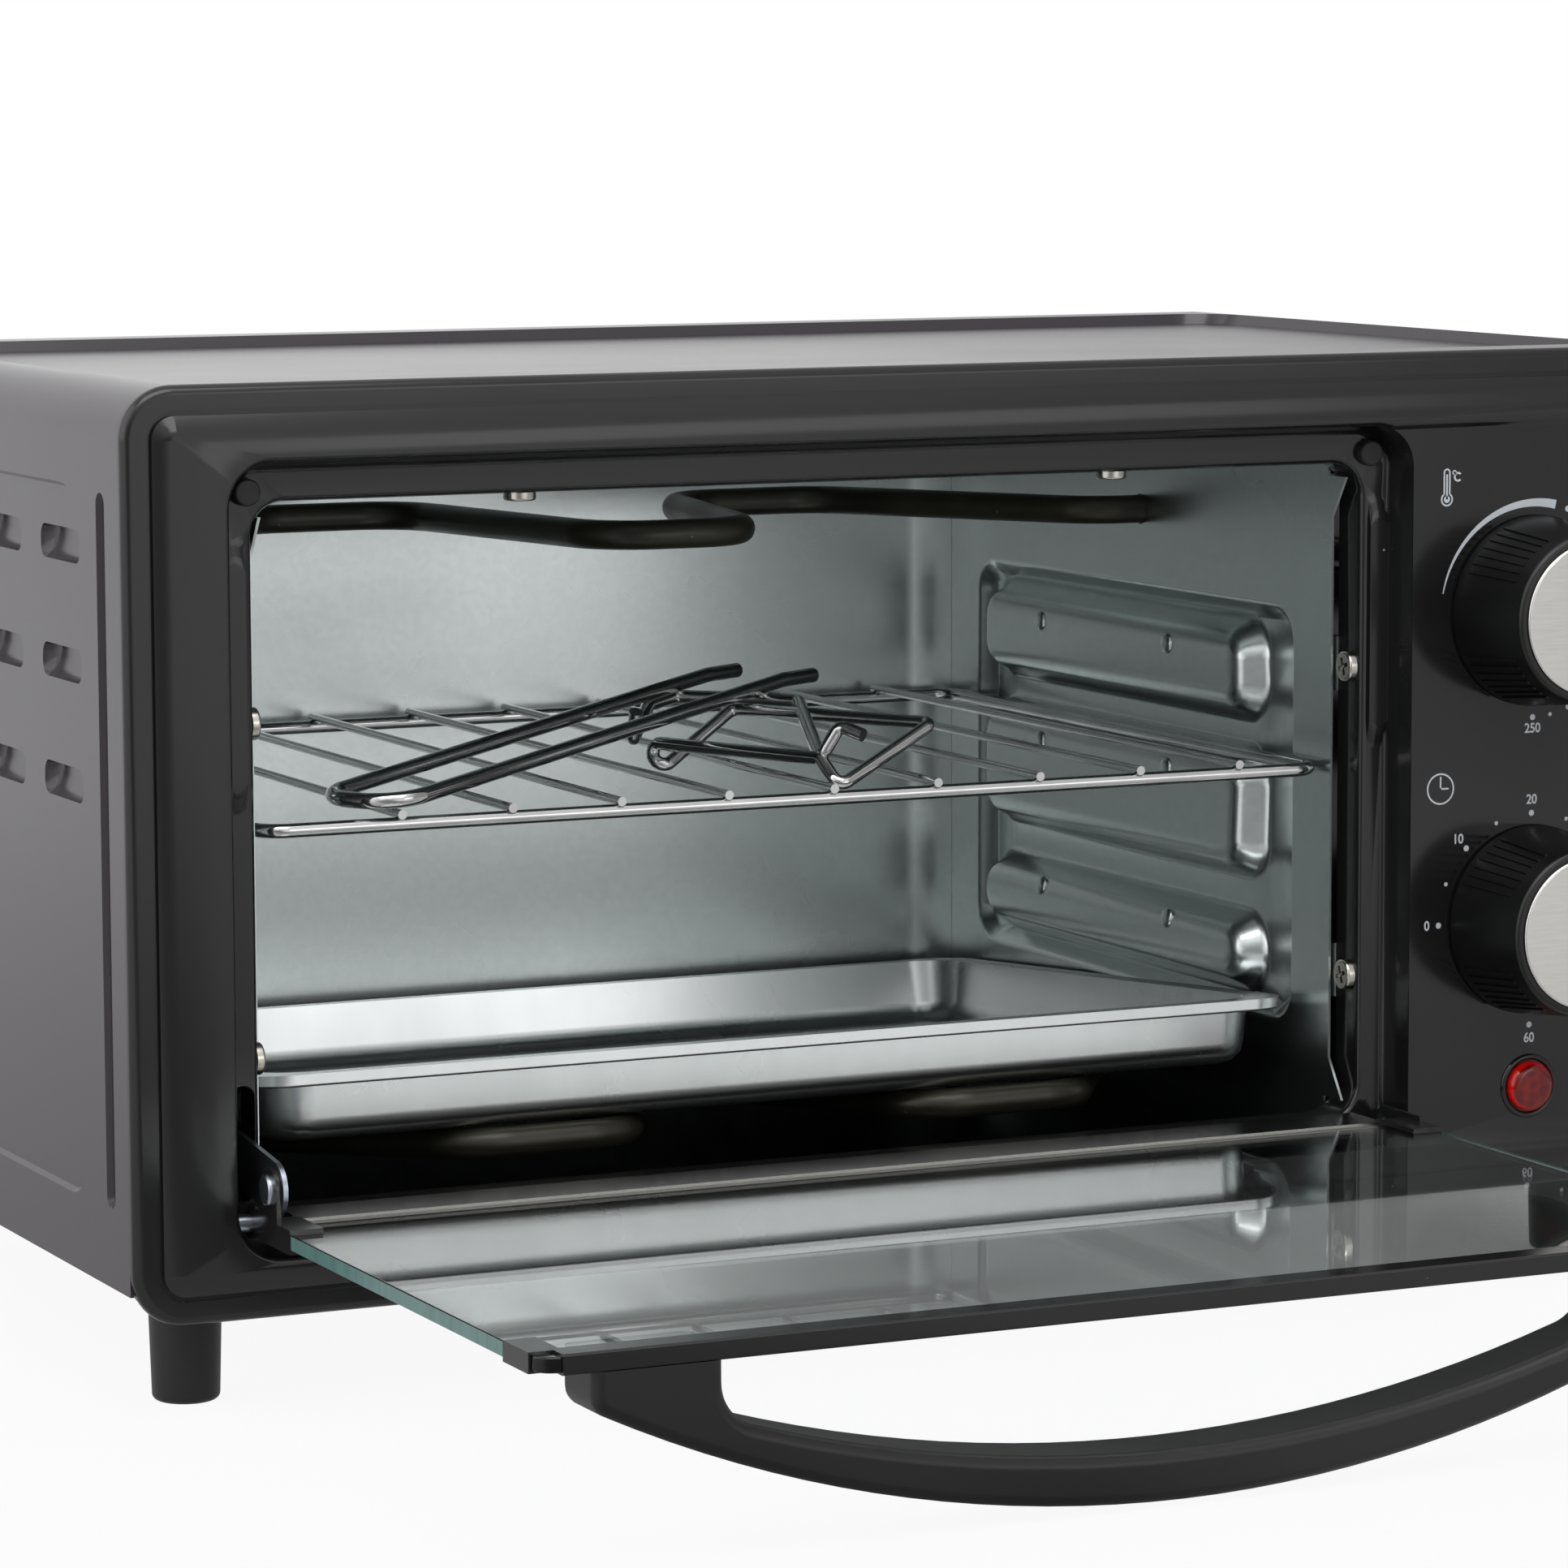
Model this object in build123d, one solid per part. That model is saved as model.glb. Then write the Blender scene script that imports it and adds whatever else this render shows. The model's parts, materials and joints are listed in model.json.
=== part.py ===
from build123d import *
import os
from math import atan2, cos, radians, sin, tan

# Countertop toaster oven with its glass door folded down, a wire rack, a baking tray and a tray lifter.
# Millimetres. X runs to the right from the cabinet's left side, Y to the back from the cover's front edge,
# and Z up from the lower edge of the front panel. The finished set is moved to its own base centre.

# Cabinet
width = 370.0
body_height = 190.0
depth = 208.0
sheet = 0.8
corner_radius = 11.0
foot_drop = 20.0
sheet_fit = 0.1

# Outer cover
cover_lift = 6.4
cover_curl = 8.0
top_margin = 12.0
top_press = 2.4
side_margin_front = 25.0
side_margin_back = 22.0
side_margin_top = 22.0
side_margin_bottom = 23.0
side_press = 1.0
press_slope = 1.5
groove_y = 8.5
groove_width = 5.0
groove_press = 1.2
louvre_length = 25.0
louvre_height = 7.0
louvre_press = 2.8
louvre_pitch_y = 38.0
louvre_pitch_z = 24.5
louvre_first_y = 27.0
louvre_top_drop = 30.5
louvre_columns = 4
louvre_rows = 3
louvre_slit = 1.4
louvre_slit_inset = 3.0
back_set = 3.0
back_flange = 2.8
vent_rows = (50.0, 90.0, 130.0)
vent_columns = 7
vent_inset = 30.0
vent_pitch = 8.0
vent_width = 4.0
vent_height = 22.0
gland_inset = 40.0
gland_z = 28.0
gland_bore = 3.6
gland_outer = 6.5
gland_half = 6.0
gland_flange = 2.5

# Front panel
rim_rise = 3.0
rim_round = 2.4
rim_width = 5.6
bevel_width = 4.0
crease_width = 1.1
crease_depth = 0.7
face_rise = 5.2
side_border = 22.0
control_width = 74.0
top_border = 16.0
bottom_border = 13.0
right_border = 10.5
recess_corner = 9.0
recess_slope = 1.4
edge_round = 1.5
seat_depth = 4.7
seat_side = 6.6
seat_top = 7.1
seat_bottom = 6.1
seat_round = 1.2
pad_rise = 1.0
pad_low = 107.0
pad_high = 153.6
pad_corner = 2.2
pad_ease = 6.0
opening_corner = 7.0
throat_depth = 14.0
skirt_depth = 6.0
field_drop = 1.2
field_corner = 6.0

# Controls
control_inset = 42.7
thermostat_z = 132.2
timer_z = 63.2
lamp_z = 25.6
shaft_radius = 3.0
shaft_fit = 0.08
knob_radius = 21.2
knob_front_radius = 18.6
knob_height = 23.5
knob_gap = 0.8
knob_wall = 2.2
knob_round = 1.2
cap_radius = 17.0
cap_thickness = 1.4
rib_groups = 4
ribs_in_group = 7
rib_pitch = 6.0
rib_width = 0.7
rib_rise = 0.35
lens_radius = 5.6
lens_rise = 2.6
lens_length = 4.0
socket_length = 22.0
shaft_reach = 10.0
switch_width = 26.0
switch_plate = 34.0
switch_body = 16.0
switch_depth = 16.0
timer_size = 46.0
timer_depth = 24.0
timer_corner = 5.0
bell_radius = 19.0
bell_height = 8.0
bell_gap = 2.0
bell_sheet = 1.0

# Cavity
cavity_sheet = 0.6
wall_inset = 2.6
floor_z = 8.0
ceiling_z = 168.0
back_wall_y = 199.0
back_step = 2.0
back_step_margin = 11.0
wall_tongue = 12.8
field_press = 3.4
ledge_rise = 7.3
ledge_slope = 4.0
field_front = 30.0
field_back = 15.0
ledge_front_inset = 15.0
ledge_back_inset = 6.0
ledge_one = (104.2, 127.5)
ledge_two_bottom = 68.0
ledge_three = (42.0, 60.6)
field_margin = 4.0
field_bend = 2.2
field_round = 8.0
frame_screw_z = (51.7, 120.4)
frame_screw_y = 9.0
ceiling_screw_reach = 69.0
ceiling_strip_margin = 20.0
tongue_inset = 3.2
tongue_reach = 2.0
tongue_slope = 9.0
tab_half = 6.0
screw_reach = 1.0

# Heating elements
element_diameter = 6.6
upper_z = 149.3
upper_end_y = 101.0
upper_back_y = 165.0
upper_front_y = 82.0
lower_front_y = 30.0
lower_back_y = 118.0
lower_end_y = 100.0
lower_front_z = 26.0
element_bend = 15.0
loop_half = 21.0
loop_pitch = 51.0
loop_lean = 7.0
element_step = 12.0
bush_radius = 5.6
bush_length = 9.0
terminal_length = 7.0
terminal_width = 6.0
terminal_sheet = 0.8

# Door
hinge_y = 0.0
hinge_z = 19.5
door_gap = 2.1
door_top_gap = 2.5
glass_thickness = 3.0
glass_offset = 1.7
glass_start = 4.5
glass_corner = 4.0
glass_edge = 0.4
trim_sheet = 0.5
trim_width = 6.0
trim_inset = 4.5
strip_sheet = 0.6
strip_front = 11.0
strip_back = 3.2
strip_inset = 7.0
clip_length = 12.0
clip_reach = 6.0
clip_overlap = 1.5
arm_sheet = 1.0
arm_lobe = 3.1
rivet_lobe = 4.5
arm_round = 3.0
arm_low = 3.8
arm_clip_front = 24.0
arm_clip_back = 10.0
arm_clip_reach = 7.0
rivet_y = 12.0
rivet_rise = 9.0
rivet_radius = 2.0
rivet_head = 3.2
rivet_head_height = 1.1
rivet_tail = 0.7
pin_radius = 2.0
pin_fit = 0.08
link_width = 11.5
link_length = 43.0
link_angle = 7.0
link_sheet = 1.0
slot_side = 1.6
slot_rim = 0.4
slot_low = 23.0
slot_high = 47.0
bumper_radius = 2.8
bumper_drop = 6.3
bumper_round = 0.6
bracket_set = 2.7
bracket_sheet = 1.2
bracket_low = 6.0
bracket_high = 10.0
clearance = 0.3

# Handle
handle_inset = 10.7
handle_width = 16.0
handle_clear = 1.0
handle_thickness = 10.0
handle_block = 26.0
handle_end = 7.5
handle_round = 2.5
handle_corner = 4.0
grip_end = 11.0
grip_corner = 9.0

# Feet
foot_inset = 18.5
foot_top_radius = 7.8
foot_base_radius = 7.0
foot_round = 1.5
screw_radius = 1.5
screw_head = 3.4
screw_head_height = 1.8
screw_length = 12.0
cross_width = 0.9
cross_length = 4.0
cross_depth = 1.0
cross_turn = 20.0
foot_set = 1.5

# Rack, tray and lifter
rack_z = 97.3
rack_wire = 3.0
rack_cross_wire = 2.0
rack_cross_count = 9
rack_cross_start = 30.0
rack_cross_pitch = 24.7
rack_front_y = 14.5
rack_back_y = 195.0
rack_corner = 5.5
rack_side_gap = 2.4
rack_weld = 0.4
tray_sheet = 0.6
tray_half_width = 124.0
tray_length = 171.0
tray_height = 14.8
tray_flange = 5.0
tray_taper = 1.2
tray_corner = 11.0
rim_corner = 10.0
tray_front_y = 22.0
tray_tilt = 4.6
tray_foot = 5.0
rim_roll = 1.3
lifter_wire = 3.4
lifter_x = 65.3
lifter_y = 22.8
lifter_turn = 31.8
lifter_rise = 5.4
lifter_length = 136.0
lifter_gauge = 20.7
lifter_tip = 12.0
hook_wire = 3.0
hook_bend = 2.0
hook_foot = 97.5
hook_head = 119.5
hook_skew = 6.5
hook_span = 48.6
hook_bridge = 14.0
hook_lift = 1.6
hook_dip = -4.0
hook_rise = 7.5
hook_spur = 7.0
hook_loop_near = 2.0
hook_lean = 2.0

# Places that follow from the sizes above
recess_x0 = side_border
recess_x1 = width - control_width
recess_z0 = bottom_border
recess_z1 = body_height - top_border
door_x = (recess_x0 + recess_x1) / 2
opening_x0 = recess_x0 + recess_slope + seat_side
opening_x1 = recess_x1 - recess_slope - seat_side
opening_z0 = recess_z0 + recess_slope + seat_bottom
opening_z1 = recess_z1 - recess_slope - seat_top
seat_y = seat_depth
field_y = -face_rise + field_drop
control_x = width - control_inset
wall_x0 = opening_x0 + wall_inset
wall_x1 = opening_x1 - wall_inset
cover_top = body_height
glass_top = hinge_z + glass_offset
glass_bottom = glass_top - glass_thickness
glass_x0 = recess_x0 + recess_slope + door_gap
glass_x1 = 2 * door_x - glass_x0
door_front = hinge_y - (recess_z1 - door_top_gap - hinge_z)
base_top = floor_z
base_bottom = floor_z - sheet
table_z = -foot_drop
ledge_angle = atan2(ledge_slope, ledge_rise)
mirror_plane = Plane(origin=(door_x, 0, 0), z_dir=(1, 0, 0))
middle_plane = Plane(origin=(width / 2, 0, 0), z_dir=(1, 0, 0))


def span(x0, x1, y0, y1, z0, z1):
    """Box between two corners."""
    return Pos((x0 + x1) / 2, (y0 + y1) / 2, (z0 + z1) / 2) * Box(x1 - x0, y1 - y0, z1 - z0)


def front_plane(y):
    """Plane across the oven at depth y, drawn as seen from the front."""
    return Plane(origin=(0, y, 0), x_dir=(1, 0, 0), z_dir=(0, -1, 0))


def side_plane(x):
    """Plane along the oven at width x: its own x runs to the back and its own y runs up."""
    return Plane(origin=(x, 0, 0), x_dir=(0, 1, 0), z_dir=(1, 0, 0))


def front_face(rect, y):
    """Rounded rectangle (x0, x1, z0, z1, radius) standing at depth y."""
    x0, x1, z0, z1, radius = rect
    return front_plane(y) * Pos((x0 + x1) / 2, (z0 + z1) / 2) * RectangleRounded(x1 - x0, z1 - z0, radius)


def side_face(rect, x):
    """Rounded rectangle (y0, y1, z0, z1, radius) standing at width x."""
    y0, y1, z0, z1, radius = rect
    return side_plane(x) * Pos((y0 + y1) / 2, (z0 + z1) / 2) * RectangleRounded(y1 - y0, z1 - z0, radius)


def top_face(rect, z):
    """Rounded rectangle (x0, x1, y0, y1, radius) lying at height z."""
    x0, x1, y0, y1, radius = rect
    return Pos((x0 + x1) / 2, (y0 + y1) / 2, z) * RectangleRounded(x1 - x0, y1 - y0, radius)


def grown(rect, amount):
    """The same rounded rectangle, larger by amount all round."""
    a0, a1, b0, b1, radius = rect
    return a0 - amount, a1 + amount, b0 - amount, b1 + amount, radius + amount


def through(faces):
    """Solid that passes through the faces one after another."""
    return loft(faces, ruled=True)


def bar(start, end, radius):
    """Round bar from one point to another."""
    start = Vector(*start)
    end = Vector(*end)
    return extrude(Plane(origin=start, z_dir=end - start) * Circle(radius), (end - start).length)


def wire(points, radius, diameter):
    """Bent round wire through the points, with one bend radius."""
    path = FilletPolyline(*points, radius=radius)
    return sweep(Plane(origin=path @ 0, z_dir=path % 0) * Circle(diameter / 2), path=path)


def both_sides(shape):
    """The shape and its mirror image across the middle of the door."""
    return [shape, mirror(shape, about=mirror_plane)]


# Front panel
cabinet = (0, width, 0, body_height, corner_radius)
recess = (recess_x0, recess_x1, recess_z0, recess_z1, recess_corner)
opening = (opening_x0, opening_x1, opening_z0, opening_z1, opening_corner)
control_field = (door_x, width - right_border, recess_z0, recess_z1, field_corner)


def pressed_pocket(rect, y_front, y_floor, slope, behind):
    """Pocket with a rolled edge at y_front, a sloping wall and a rounded foot at y_floor."""
    stations = [
        (y_front - edge_round / 4, edge_round * 1.2),
        (y_front + edge_round / 4, edge_round * 0.35),
        (y_front + edge_round, 0),
        (y_floor - seat_round, -slope),
        (y_floor - seat_round * 0.3, -slope - seat_round * 0.3),
        (y_floor, -slope - seat_round),
    ]
    return through([front_face(grown(rect, grow + behind), y) for y, grow in stations])


def seat_pad(behind):
    """Pad of the door seat beside the opening, a little proud of it and easing in above and below."""
    x0 = recess_x0 + recess_slope + behind
    x1 = opening_x0 - edge_round * 1.3 - behind
    stations = [(pad_ease, -sheet / 4), (pad_ease * 0.55, pad_rise * 0.25),
                (pad_ease * 0.25, pad_rise * 0.75), (0, pad_rise)]
    faces = []
    for ease, rise in stations:
        rect = (x0, x1, pad_low - ease + behind, pad_high + ease - behind, pad_corner - behind)
        faces.append(front_face(rect, behind + seat_y - rise))
    return through(faces)


def crease_ring(behind):
    """Narrow groove between the rim and the bevel."""
    half = crease_width / 2 + behind
    reach = face_rise - rim_rise + crease_depth
    y_floor = behind + crease_depth - rim_rise
    outside = extrude(front_face(grown(cabinet, half - rim_width), y_floor), reach)
    return outside - extrude(front_face(grown(cabinet, -half - rim_width), y_floor), reach)


def panel_form(behind):
    """The panel's front surface as a block, set behind the visible surface by the given distance."""
    rim = extrude(front_face(grown(cabinet, -behind), -behind), rim_rise - 2 * behind)
    rim = fillet(rim.faces().sort_by(Axis.Y)[0].edges(), (rim_round - behind) * 0.85)
    inside_cover = -(sheet + sheet_fit) - behind
    back = throat_depth + behind
    y_root = -rim_rise / 2
    skirt = extrude(front_face(grown(cabinet, inside_cover), y_root), y_root - skirt_depth - behind)
    throat_block = extrude(front_face(grown(opening, sheet), y_root), y_root - back)
    bevel = through([
        front_face(grown(cabinet, -rim_width), behind - rim_rise),
        front_face(grown(cabinet, -rim_width - bevel_width), behind - face_rise),
    ])
    y_face = behind - face_rise
    y_seat = behind + seat_y
    door_pocket = pressed_pocket(recess, y_face, y_seat, recess_slope, behind)
    field_pocket = through([
        front_face(grown(control_field, field_drop + behind), y_face - field_drop / 2),
        front_face(grown(control_field, behind - field_drop / 2), behind + field_y),
    ])
    throat = through([
        front_face(grown(opening, edge_round * 1.2 + behind), y_seat - edge_round / 4),
        front_face(grown(opening, edge_round * 0.35 + behind), y_seat + edge_round / 4),
        front_face(grown(opening, behind), y_seat + edge_round),
        front_face(grown(opening, behind), back + 1),
    ])
    form = rim + skirt + bevel + throat_block - crease_ring(behind) - door_pocket - field_pocket
    return form + both_sides(seat_pad(behind)) - throat


front_panel = panel_form(0) - panel_form(sheet)
shaft_hole = shaft_radius * 1.5
control_holes = [
    bar((control_x, -face_rise, z), (control_x, 0, z), radius)
    for z, radius in ((thermostat_z, shaft_hole), (timer_z, shaft_hole), (lamp_z, lens_radius + shaft_fit))
]
pin_hole = bar((recess_x0 - 2 * sheet, hinge_y, hinge_z), (glass_x0, hinge_y, hinge_z), pin_radius * 1.5)
slot_x0 = glass_x0 - slot_side
slot_x1 = opening_x0 - sheet - slot_rim
slot_rect = (slot_x0, slot_x1, slot_low, slot_high, (slot_x1 - slot_x0) * 0.48)
link_slot = extrude(front_face(slot_rect, seat_y - 2 * sheet), -5 * sheet)
bumper_x = opening_x0 - 2 * sheet
bumper_z = recess_z1 - bumper_drop
bumper_hole = bar((bumper_x, seat_y - sheet, bumper_z), (bumper_x, seat_y + 2 * sheet, bumper_z),
                  screw_radius)
frame_screw_holes = [
    bar((opening_x0 - 2 * sheet, frame_screw_y, z), (opening_x0 + sheet, frame_screw_y, z), screw_radius)
    for z in frame_screw_z
]
ceiling_screw_x = door_x - ceiling_screw_reach
ceiling_screw_hole = bar((ceiling_screw_x, frame_screw_y, opening_z1 - sheet),
                         (ceiling_screw_x, frame_screw_y, opening_z1 + 2 * sheet), screw_radius)
panel_cuts = control_holes + [link_slot]
for cut in [pin_hole, bumper_hole, ceiling_screw_hole] + frame_screw_holes:
    panel_cuts += both_sides(cut)
front_panel = front_panel - panel_cuts


# Outer cover
top_recess = (top_margin, width - top_margin, top_margin, depth - top_margin, corner_radius)
side_recess = (side_margin_front, depth - side_margin_back, side_margin_bottom,
               body_height - side_margin_top, corner_radius)
groove = (groove_y, groove_y + groove_width, side_margin_bottom, body_height - side_margin_top,
          groove_width * 0.48)
louvre_places = [
    (louvre_first_y + column * louvre_pitch_y, body_height - louvre_top_drop - row * louvre_pitch_z)
    for column in range(louvre_columns) for row in range(louvre_rows)
]


def louvre_dent(y, z, behind):
    """Scoop pressed into the left side below a slit at height z, deepest at the slit."""
    stations = [(-sheet, 0), (0, 0), (0.55 * louvre_press, 0.12), (0.85 * louvre_press, 0.32),
                (louvre_press, 0.6)]
    faces = []
    for press, share in stations:
        inset = share * louvre_height
        rect = (y + inset - behind, y + louvre_length - inset + behind, z - louvre_height + inset - behind,
                z + behind, (1 - share) * louvre_height * 0.4 + behind / 2)
        faces.append(side_face(rect, side_press + behind + press))
    return through(faces)


def cover_form(behind):
    """The cover's outside as a block, set behind the visible surface by the given distance."""
    x0 = behind
    x1 = width - behind
    z0 = cover_lift + behind
    z1 = cover_top - behind
    outline = make_face(Polyline((x0, z0), (x0, z1), (x1, z1), (x1, z0), close=True))
    outline = fillet(outline.vertices().group_by(Axis.Y)[-1], corner_radius - behind)
    form = Pos(0, -behind, 0) * extrude(Plane.XZ * outline, -depth - 2 * behind)
    top_pocket = through([
        top_face(grown(top_recess, press_slope + behind), z1 + sheet),
        top_face(grown(top_recess, behind), z1 - top_press),
    ])
    side_pocket = through([
        side_face(grown(side_recess, press_slope + behind), behind - sheet),
        side_face(grown(side_recess, behind), behind + side_press),
    ])
    groove_pocket = through([
        side_face(grown(groove, behind + groove_press / 2), behind - sheet),
        side_face(grown(groove, behind - groove_press / 2), behind + groove_press),
    ])
    pockets = [side_pocket, groove_pocket] + [louvre_dent(y, z, behind) for y, z in louvre_places]
    return form - [top_pocket] - pockets - [mirror(pocket, about=middle_plane) for pocket in pockets]


cover_slits = []
for y, z in louvre_places:
    slit = span(side_press + sheet / 2, side_press + louvre_press, y + louvre_slit_inset,
                y + louvre_length - louvre_slit_inset, z - louvre_slit / 2, z + louvre_slit)
    cover_slits += [slit, mirror(slit, about=middle_plane)]
base_hole = span(cover_curl, width - cover_curl, -sheet, depth + sheet, 0, floor_z)
curl_notch = span(sheet, width - sheet, -sheet, skirt_depth + sheet, 0, floor_z)
outer_cover = cover_form(0) - cover_form(sheet) - [base_hole, curl_notch] - cover_slits

# Back panel, set inside the cover's back end
back_y = depth - back_set
panel_inset = sheet + sheet_fit
back_rect = (panel_inset, width - panel_inset, base_top + sheet_fit, body_height - panel_inset,
             corner_radius - panel_inset)
back_panel = extrude(front_face(back_rect, back_y), back_flange)
back_panel -= extrude(front_face(grown(back_rect, -sheet), back_y - sheet), back_flange)
gland_x = width - gland_inset
back_cuts = [bar((gland_x, back_y - back_flange, gland_z), (gland_x, back_y + sheet, gland_z),
                 gland_outer + sheet_fit)]
for row_z in vent_rows:
    for column in range(vent_columns):
        x = width - vent_inset - column * vent_pitch
        rect = (x, x + vent_width, row_z, row_z + vent_height, vent_width * 0.48)
        back_cuts.append(extrude(front_face(rect, back_y + sheet), 3 * sheet))
back_panel = back_panel - back_cuts

# Cord gland: a flanged bush with an open bore
cord_gland = bar((gland_x, back_y - gland_half, gland_z), (gland_x, back_y + gland_half, gland_z),
                 gland_outer)
for y0, y1 in ((back_y, back_y + gland_flange), (back_y - sheet - gland_flange, back_y - sheet)):
    cord_gland += bar((gland_x, y0, gland_z), (gland_x, y1, gland_z), gland_outer + gland_flange)
cord_gland -= bar((gland_x, back_y - 2 * gland_half, gland_z), (gland_x, back_y + 2 * gland_half, gland_z),
                  gland_bore)

# Base plate, resting on the cover's curled lower edges
base_inset = 2 * (sheet + sheet_fit)
base_plate = span(base_inset, width - base_inset, skirt_depth + sheet_fit, back_y, base_bottom, base_top)
foot_y = (foot_inset + foot_set, depth - foot_inset - foot_set)
foot_x = (foot_inset, width - foot_inset)
foot_places = [(x, y) for y in foot_y for x in foot_x]
base_plate -= [bar((x, y, 0), (x, y, base_top + sheet), screw_radius) for x, y in foot_places]
foot_names = ["foot_front_left", "foot_front_right", "foot_rear_left", "foot_rear_right"]
feet = {}
foot_screws = []
for name, (x, y) in zip(foot_names, foot_places):
    screw_tip = (x, y, base_bottom - screw_length)
    leg = through([Pos(x, y, table_z) * Circle(foot_base_radius),
                   Pos(x, y, base_bottom) * Circle(foot_top_radius)])
    leg = fillet(leg.edges().group_by(Axis.Z)[0], foot_round)
    feet[name] = leg - bar(screw_tip, (x, y, base_bottom), screw_radius)
    screw = bar(screw_tip, (x, y, base_top + screw_head_height / 2), screw_radius)
    foot_screws.append(screw + bar((x, y, base_top), (x, y, base_top + screw_head_height), screw_head))


# Cavity side wall, drawn on the right and mirrored
wall_back = back_wall_y - sheet_fit
field_rect = (field_front, wall_back - field_back, ledge_three[0] - field_margin, ledge_one[1] + field_margin,
              field_round)
rack_wire_x = wall_x1 - rack_side_gap
rack_seat_drop = (rack_wire / 2 + clearance) / cos(ledge_angle)
ledge_crest = wall_x1 + field_press - ledge_rise
ledge_two_top = rack_z - rack_seat_drop + (wall_x1 + field_press - rack_wire_x) * tan(ledge_angle)
ledge_y0 = field_front + ledge_front_inset
ledge_y1 = wall_back - field_back - ledge_back_inset
ledge_radius = 0.49 * (ledge_three[1] - ledge_three[0])
ledges = [(ledge_y0, ledge_y1, low, high, ledge_radius)
          for low, high in (ledge_three, (ledge_two_bottom, ledge_two_top), ledge_one)]
tongue_low = opening_z0 + tongue_inset
tongue_high = opening_z1 - tongue_inset
tongue_tip = frame_screw_y - tongue_reach
wall_front = throat_depth + cavity_sheet
wall_outline = Polyline(
    (wall_front, floor_z), (wall_front, tongue_low), (tongue_tip, tongue_low),
    (wall_tongue, tongue_low + tongue_slope),
    (wall_tongue, tongue_high - tongue_slope), (tongue_tip, tongue_high), (wall_front, tongue_high),
    (wall_front, ceiling_z), (wall_back, ceiling_z), (wall_back, floor_z), close=True)


def ledge_bump(rect, x_field, behind):
    """Long ledge that rises from the field with a soft foot, a straight flank and a fat round crest."""
    reach = ledge_crest + behind - x_field
    flank_rise = 0.72
    flank_inset = flank_rise * ledge_slope
    crest = ledge_radius - 2 * cavity_sheet - flank_inset
    stations = [(0, -0.3 * ledge_slope), (0.07, 0), (0.2, 0.2 * ledge_slope), (flank_rise, flank_inset)]
    stations += [(rise, flank_inset + share * crest)
                 for rise, share in ((0.86, 0.18), (0.95, 0.44), (0.99, 0.72), (1.0, 1.0))]
    faces = [side_face(grown(rect, 0.3 * ledge_slope - behind), x_field + 1)]
    for rise, inset in stations:
        faces.append(side_face(grown(rect, -inset - behind), x_field + rise * reach))
    return through(faces)


def wall_form(behind):
    """Air on the cavity side of the right wall, grown towards the sheet by the given distance."""
    air = extrude(side_plane(wall_x1 - 2 * ledge_rise) * make_face(wall_outline), 2 * ledge_rise + behind)
    x_wall = wall_x1 + behind
    x_field = x_wall + field_press
    mouth = grown(field_rect, behind + field_bend / 2)
    faces = [side_face(mouth, x_wall - cavity_sheet)]
    for angle in (0, 15, 30, 45):
        turn = radians(angle)
        faces.append(side_face(grown(mouth, -field_bend * sin(turn)), x_wall + field_bend * (1 - cos(turn))))
    faces.append(side_face(grown(field_rect, behind - field_press), x_field))
    air += through(faces)
    return air - [ledge_bump(rect, x_field, behind) for rect in ledges]


tab_x = opening_x1 + sheet
tab_back = wall_front + 1.5 * cavity_sheet
tab_front = seat_y + sheet + edge_round + sheet_fit
element_hole = element_diameter / 2 + clearance


def screw_tab(z):
    """Tab that steps out behind the opening's flange and takes a frame screw."""
    z0 = z - tab_half
    z1 = z + tab_half
    step = span(wall_x1, tab_x + cavity_sheet, tab_back, tab_back + cavity_sheet, z0, z1)
    tongue = span(tab_x, tab_x + cavity_sheet, tab_front, tab_back + cavity_sheet, z0, z1)
    hole = bar((wall_x1, frame_screw_y, z), (tab_x + 2 * cavity_sheet, frame_screw_y, z), screw_radius)
    return step + tongue - hole


lower_end_z = lower_front_z - (lower_end_y - lower_front_y) * tan(radians(tray_tilt))
wall_holes = [bar((wall_x1 - ledge_rise, y, z), (wall_x1 + ledge_rise, y, z), element_hole)
              for y, z in ((upper_end_y, upper_z), (lower_end_y, lower_end_z))]
cavity_right_wall = wall_form(cavity_sheet) - wall_form(0) - wall_holes
cavity_right_wall += [screw_tab(z) for z in frame_screw_z]
cavity_left_wall = mirror(cavity_right_wall, about=mirror_plane)

# Cavity ceiling with a stepped front strip on the opening's top flange
strip_z = opening_z1 + sheet
ceiling_x0 = wall_x0 - cavity_sheet
ceiling_x1 = wall_x1 + cavity_sheet
ceiling_top = ceiling_z + cavity_sheet
top_strip_x0 = ceiling_screw_x - ceiling_strip_margin
top_strip_x1 = 2 * door_x - top_strip_x0
strip_back_y = wall_front + cavity_sheet
cavity_ceiling = span(ceiling_x0, ceiling_x1, wall_front, wall_back, ceiling_z, ceiling_top)
cavity_ceiling += span(top_strip_x0, top_strip_x1, wall_front, strip_back_y, strip_z, ceiling_top)
cavity_ceiling += span(top_strip_x0, top_strip_x1, tab_front, strip_back_y, strip_z, strip_z + cavity_sheet)
cavity_ceiling -= both_sides(bar((ceiling_screw_x, frame_screw_y, strip_z - cavity_sheet),
                                 (ceiling_screw_x, frame_screw_y, strip_z + 2 * cavity_sheet), screw_radius))

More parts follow.
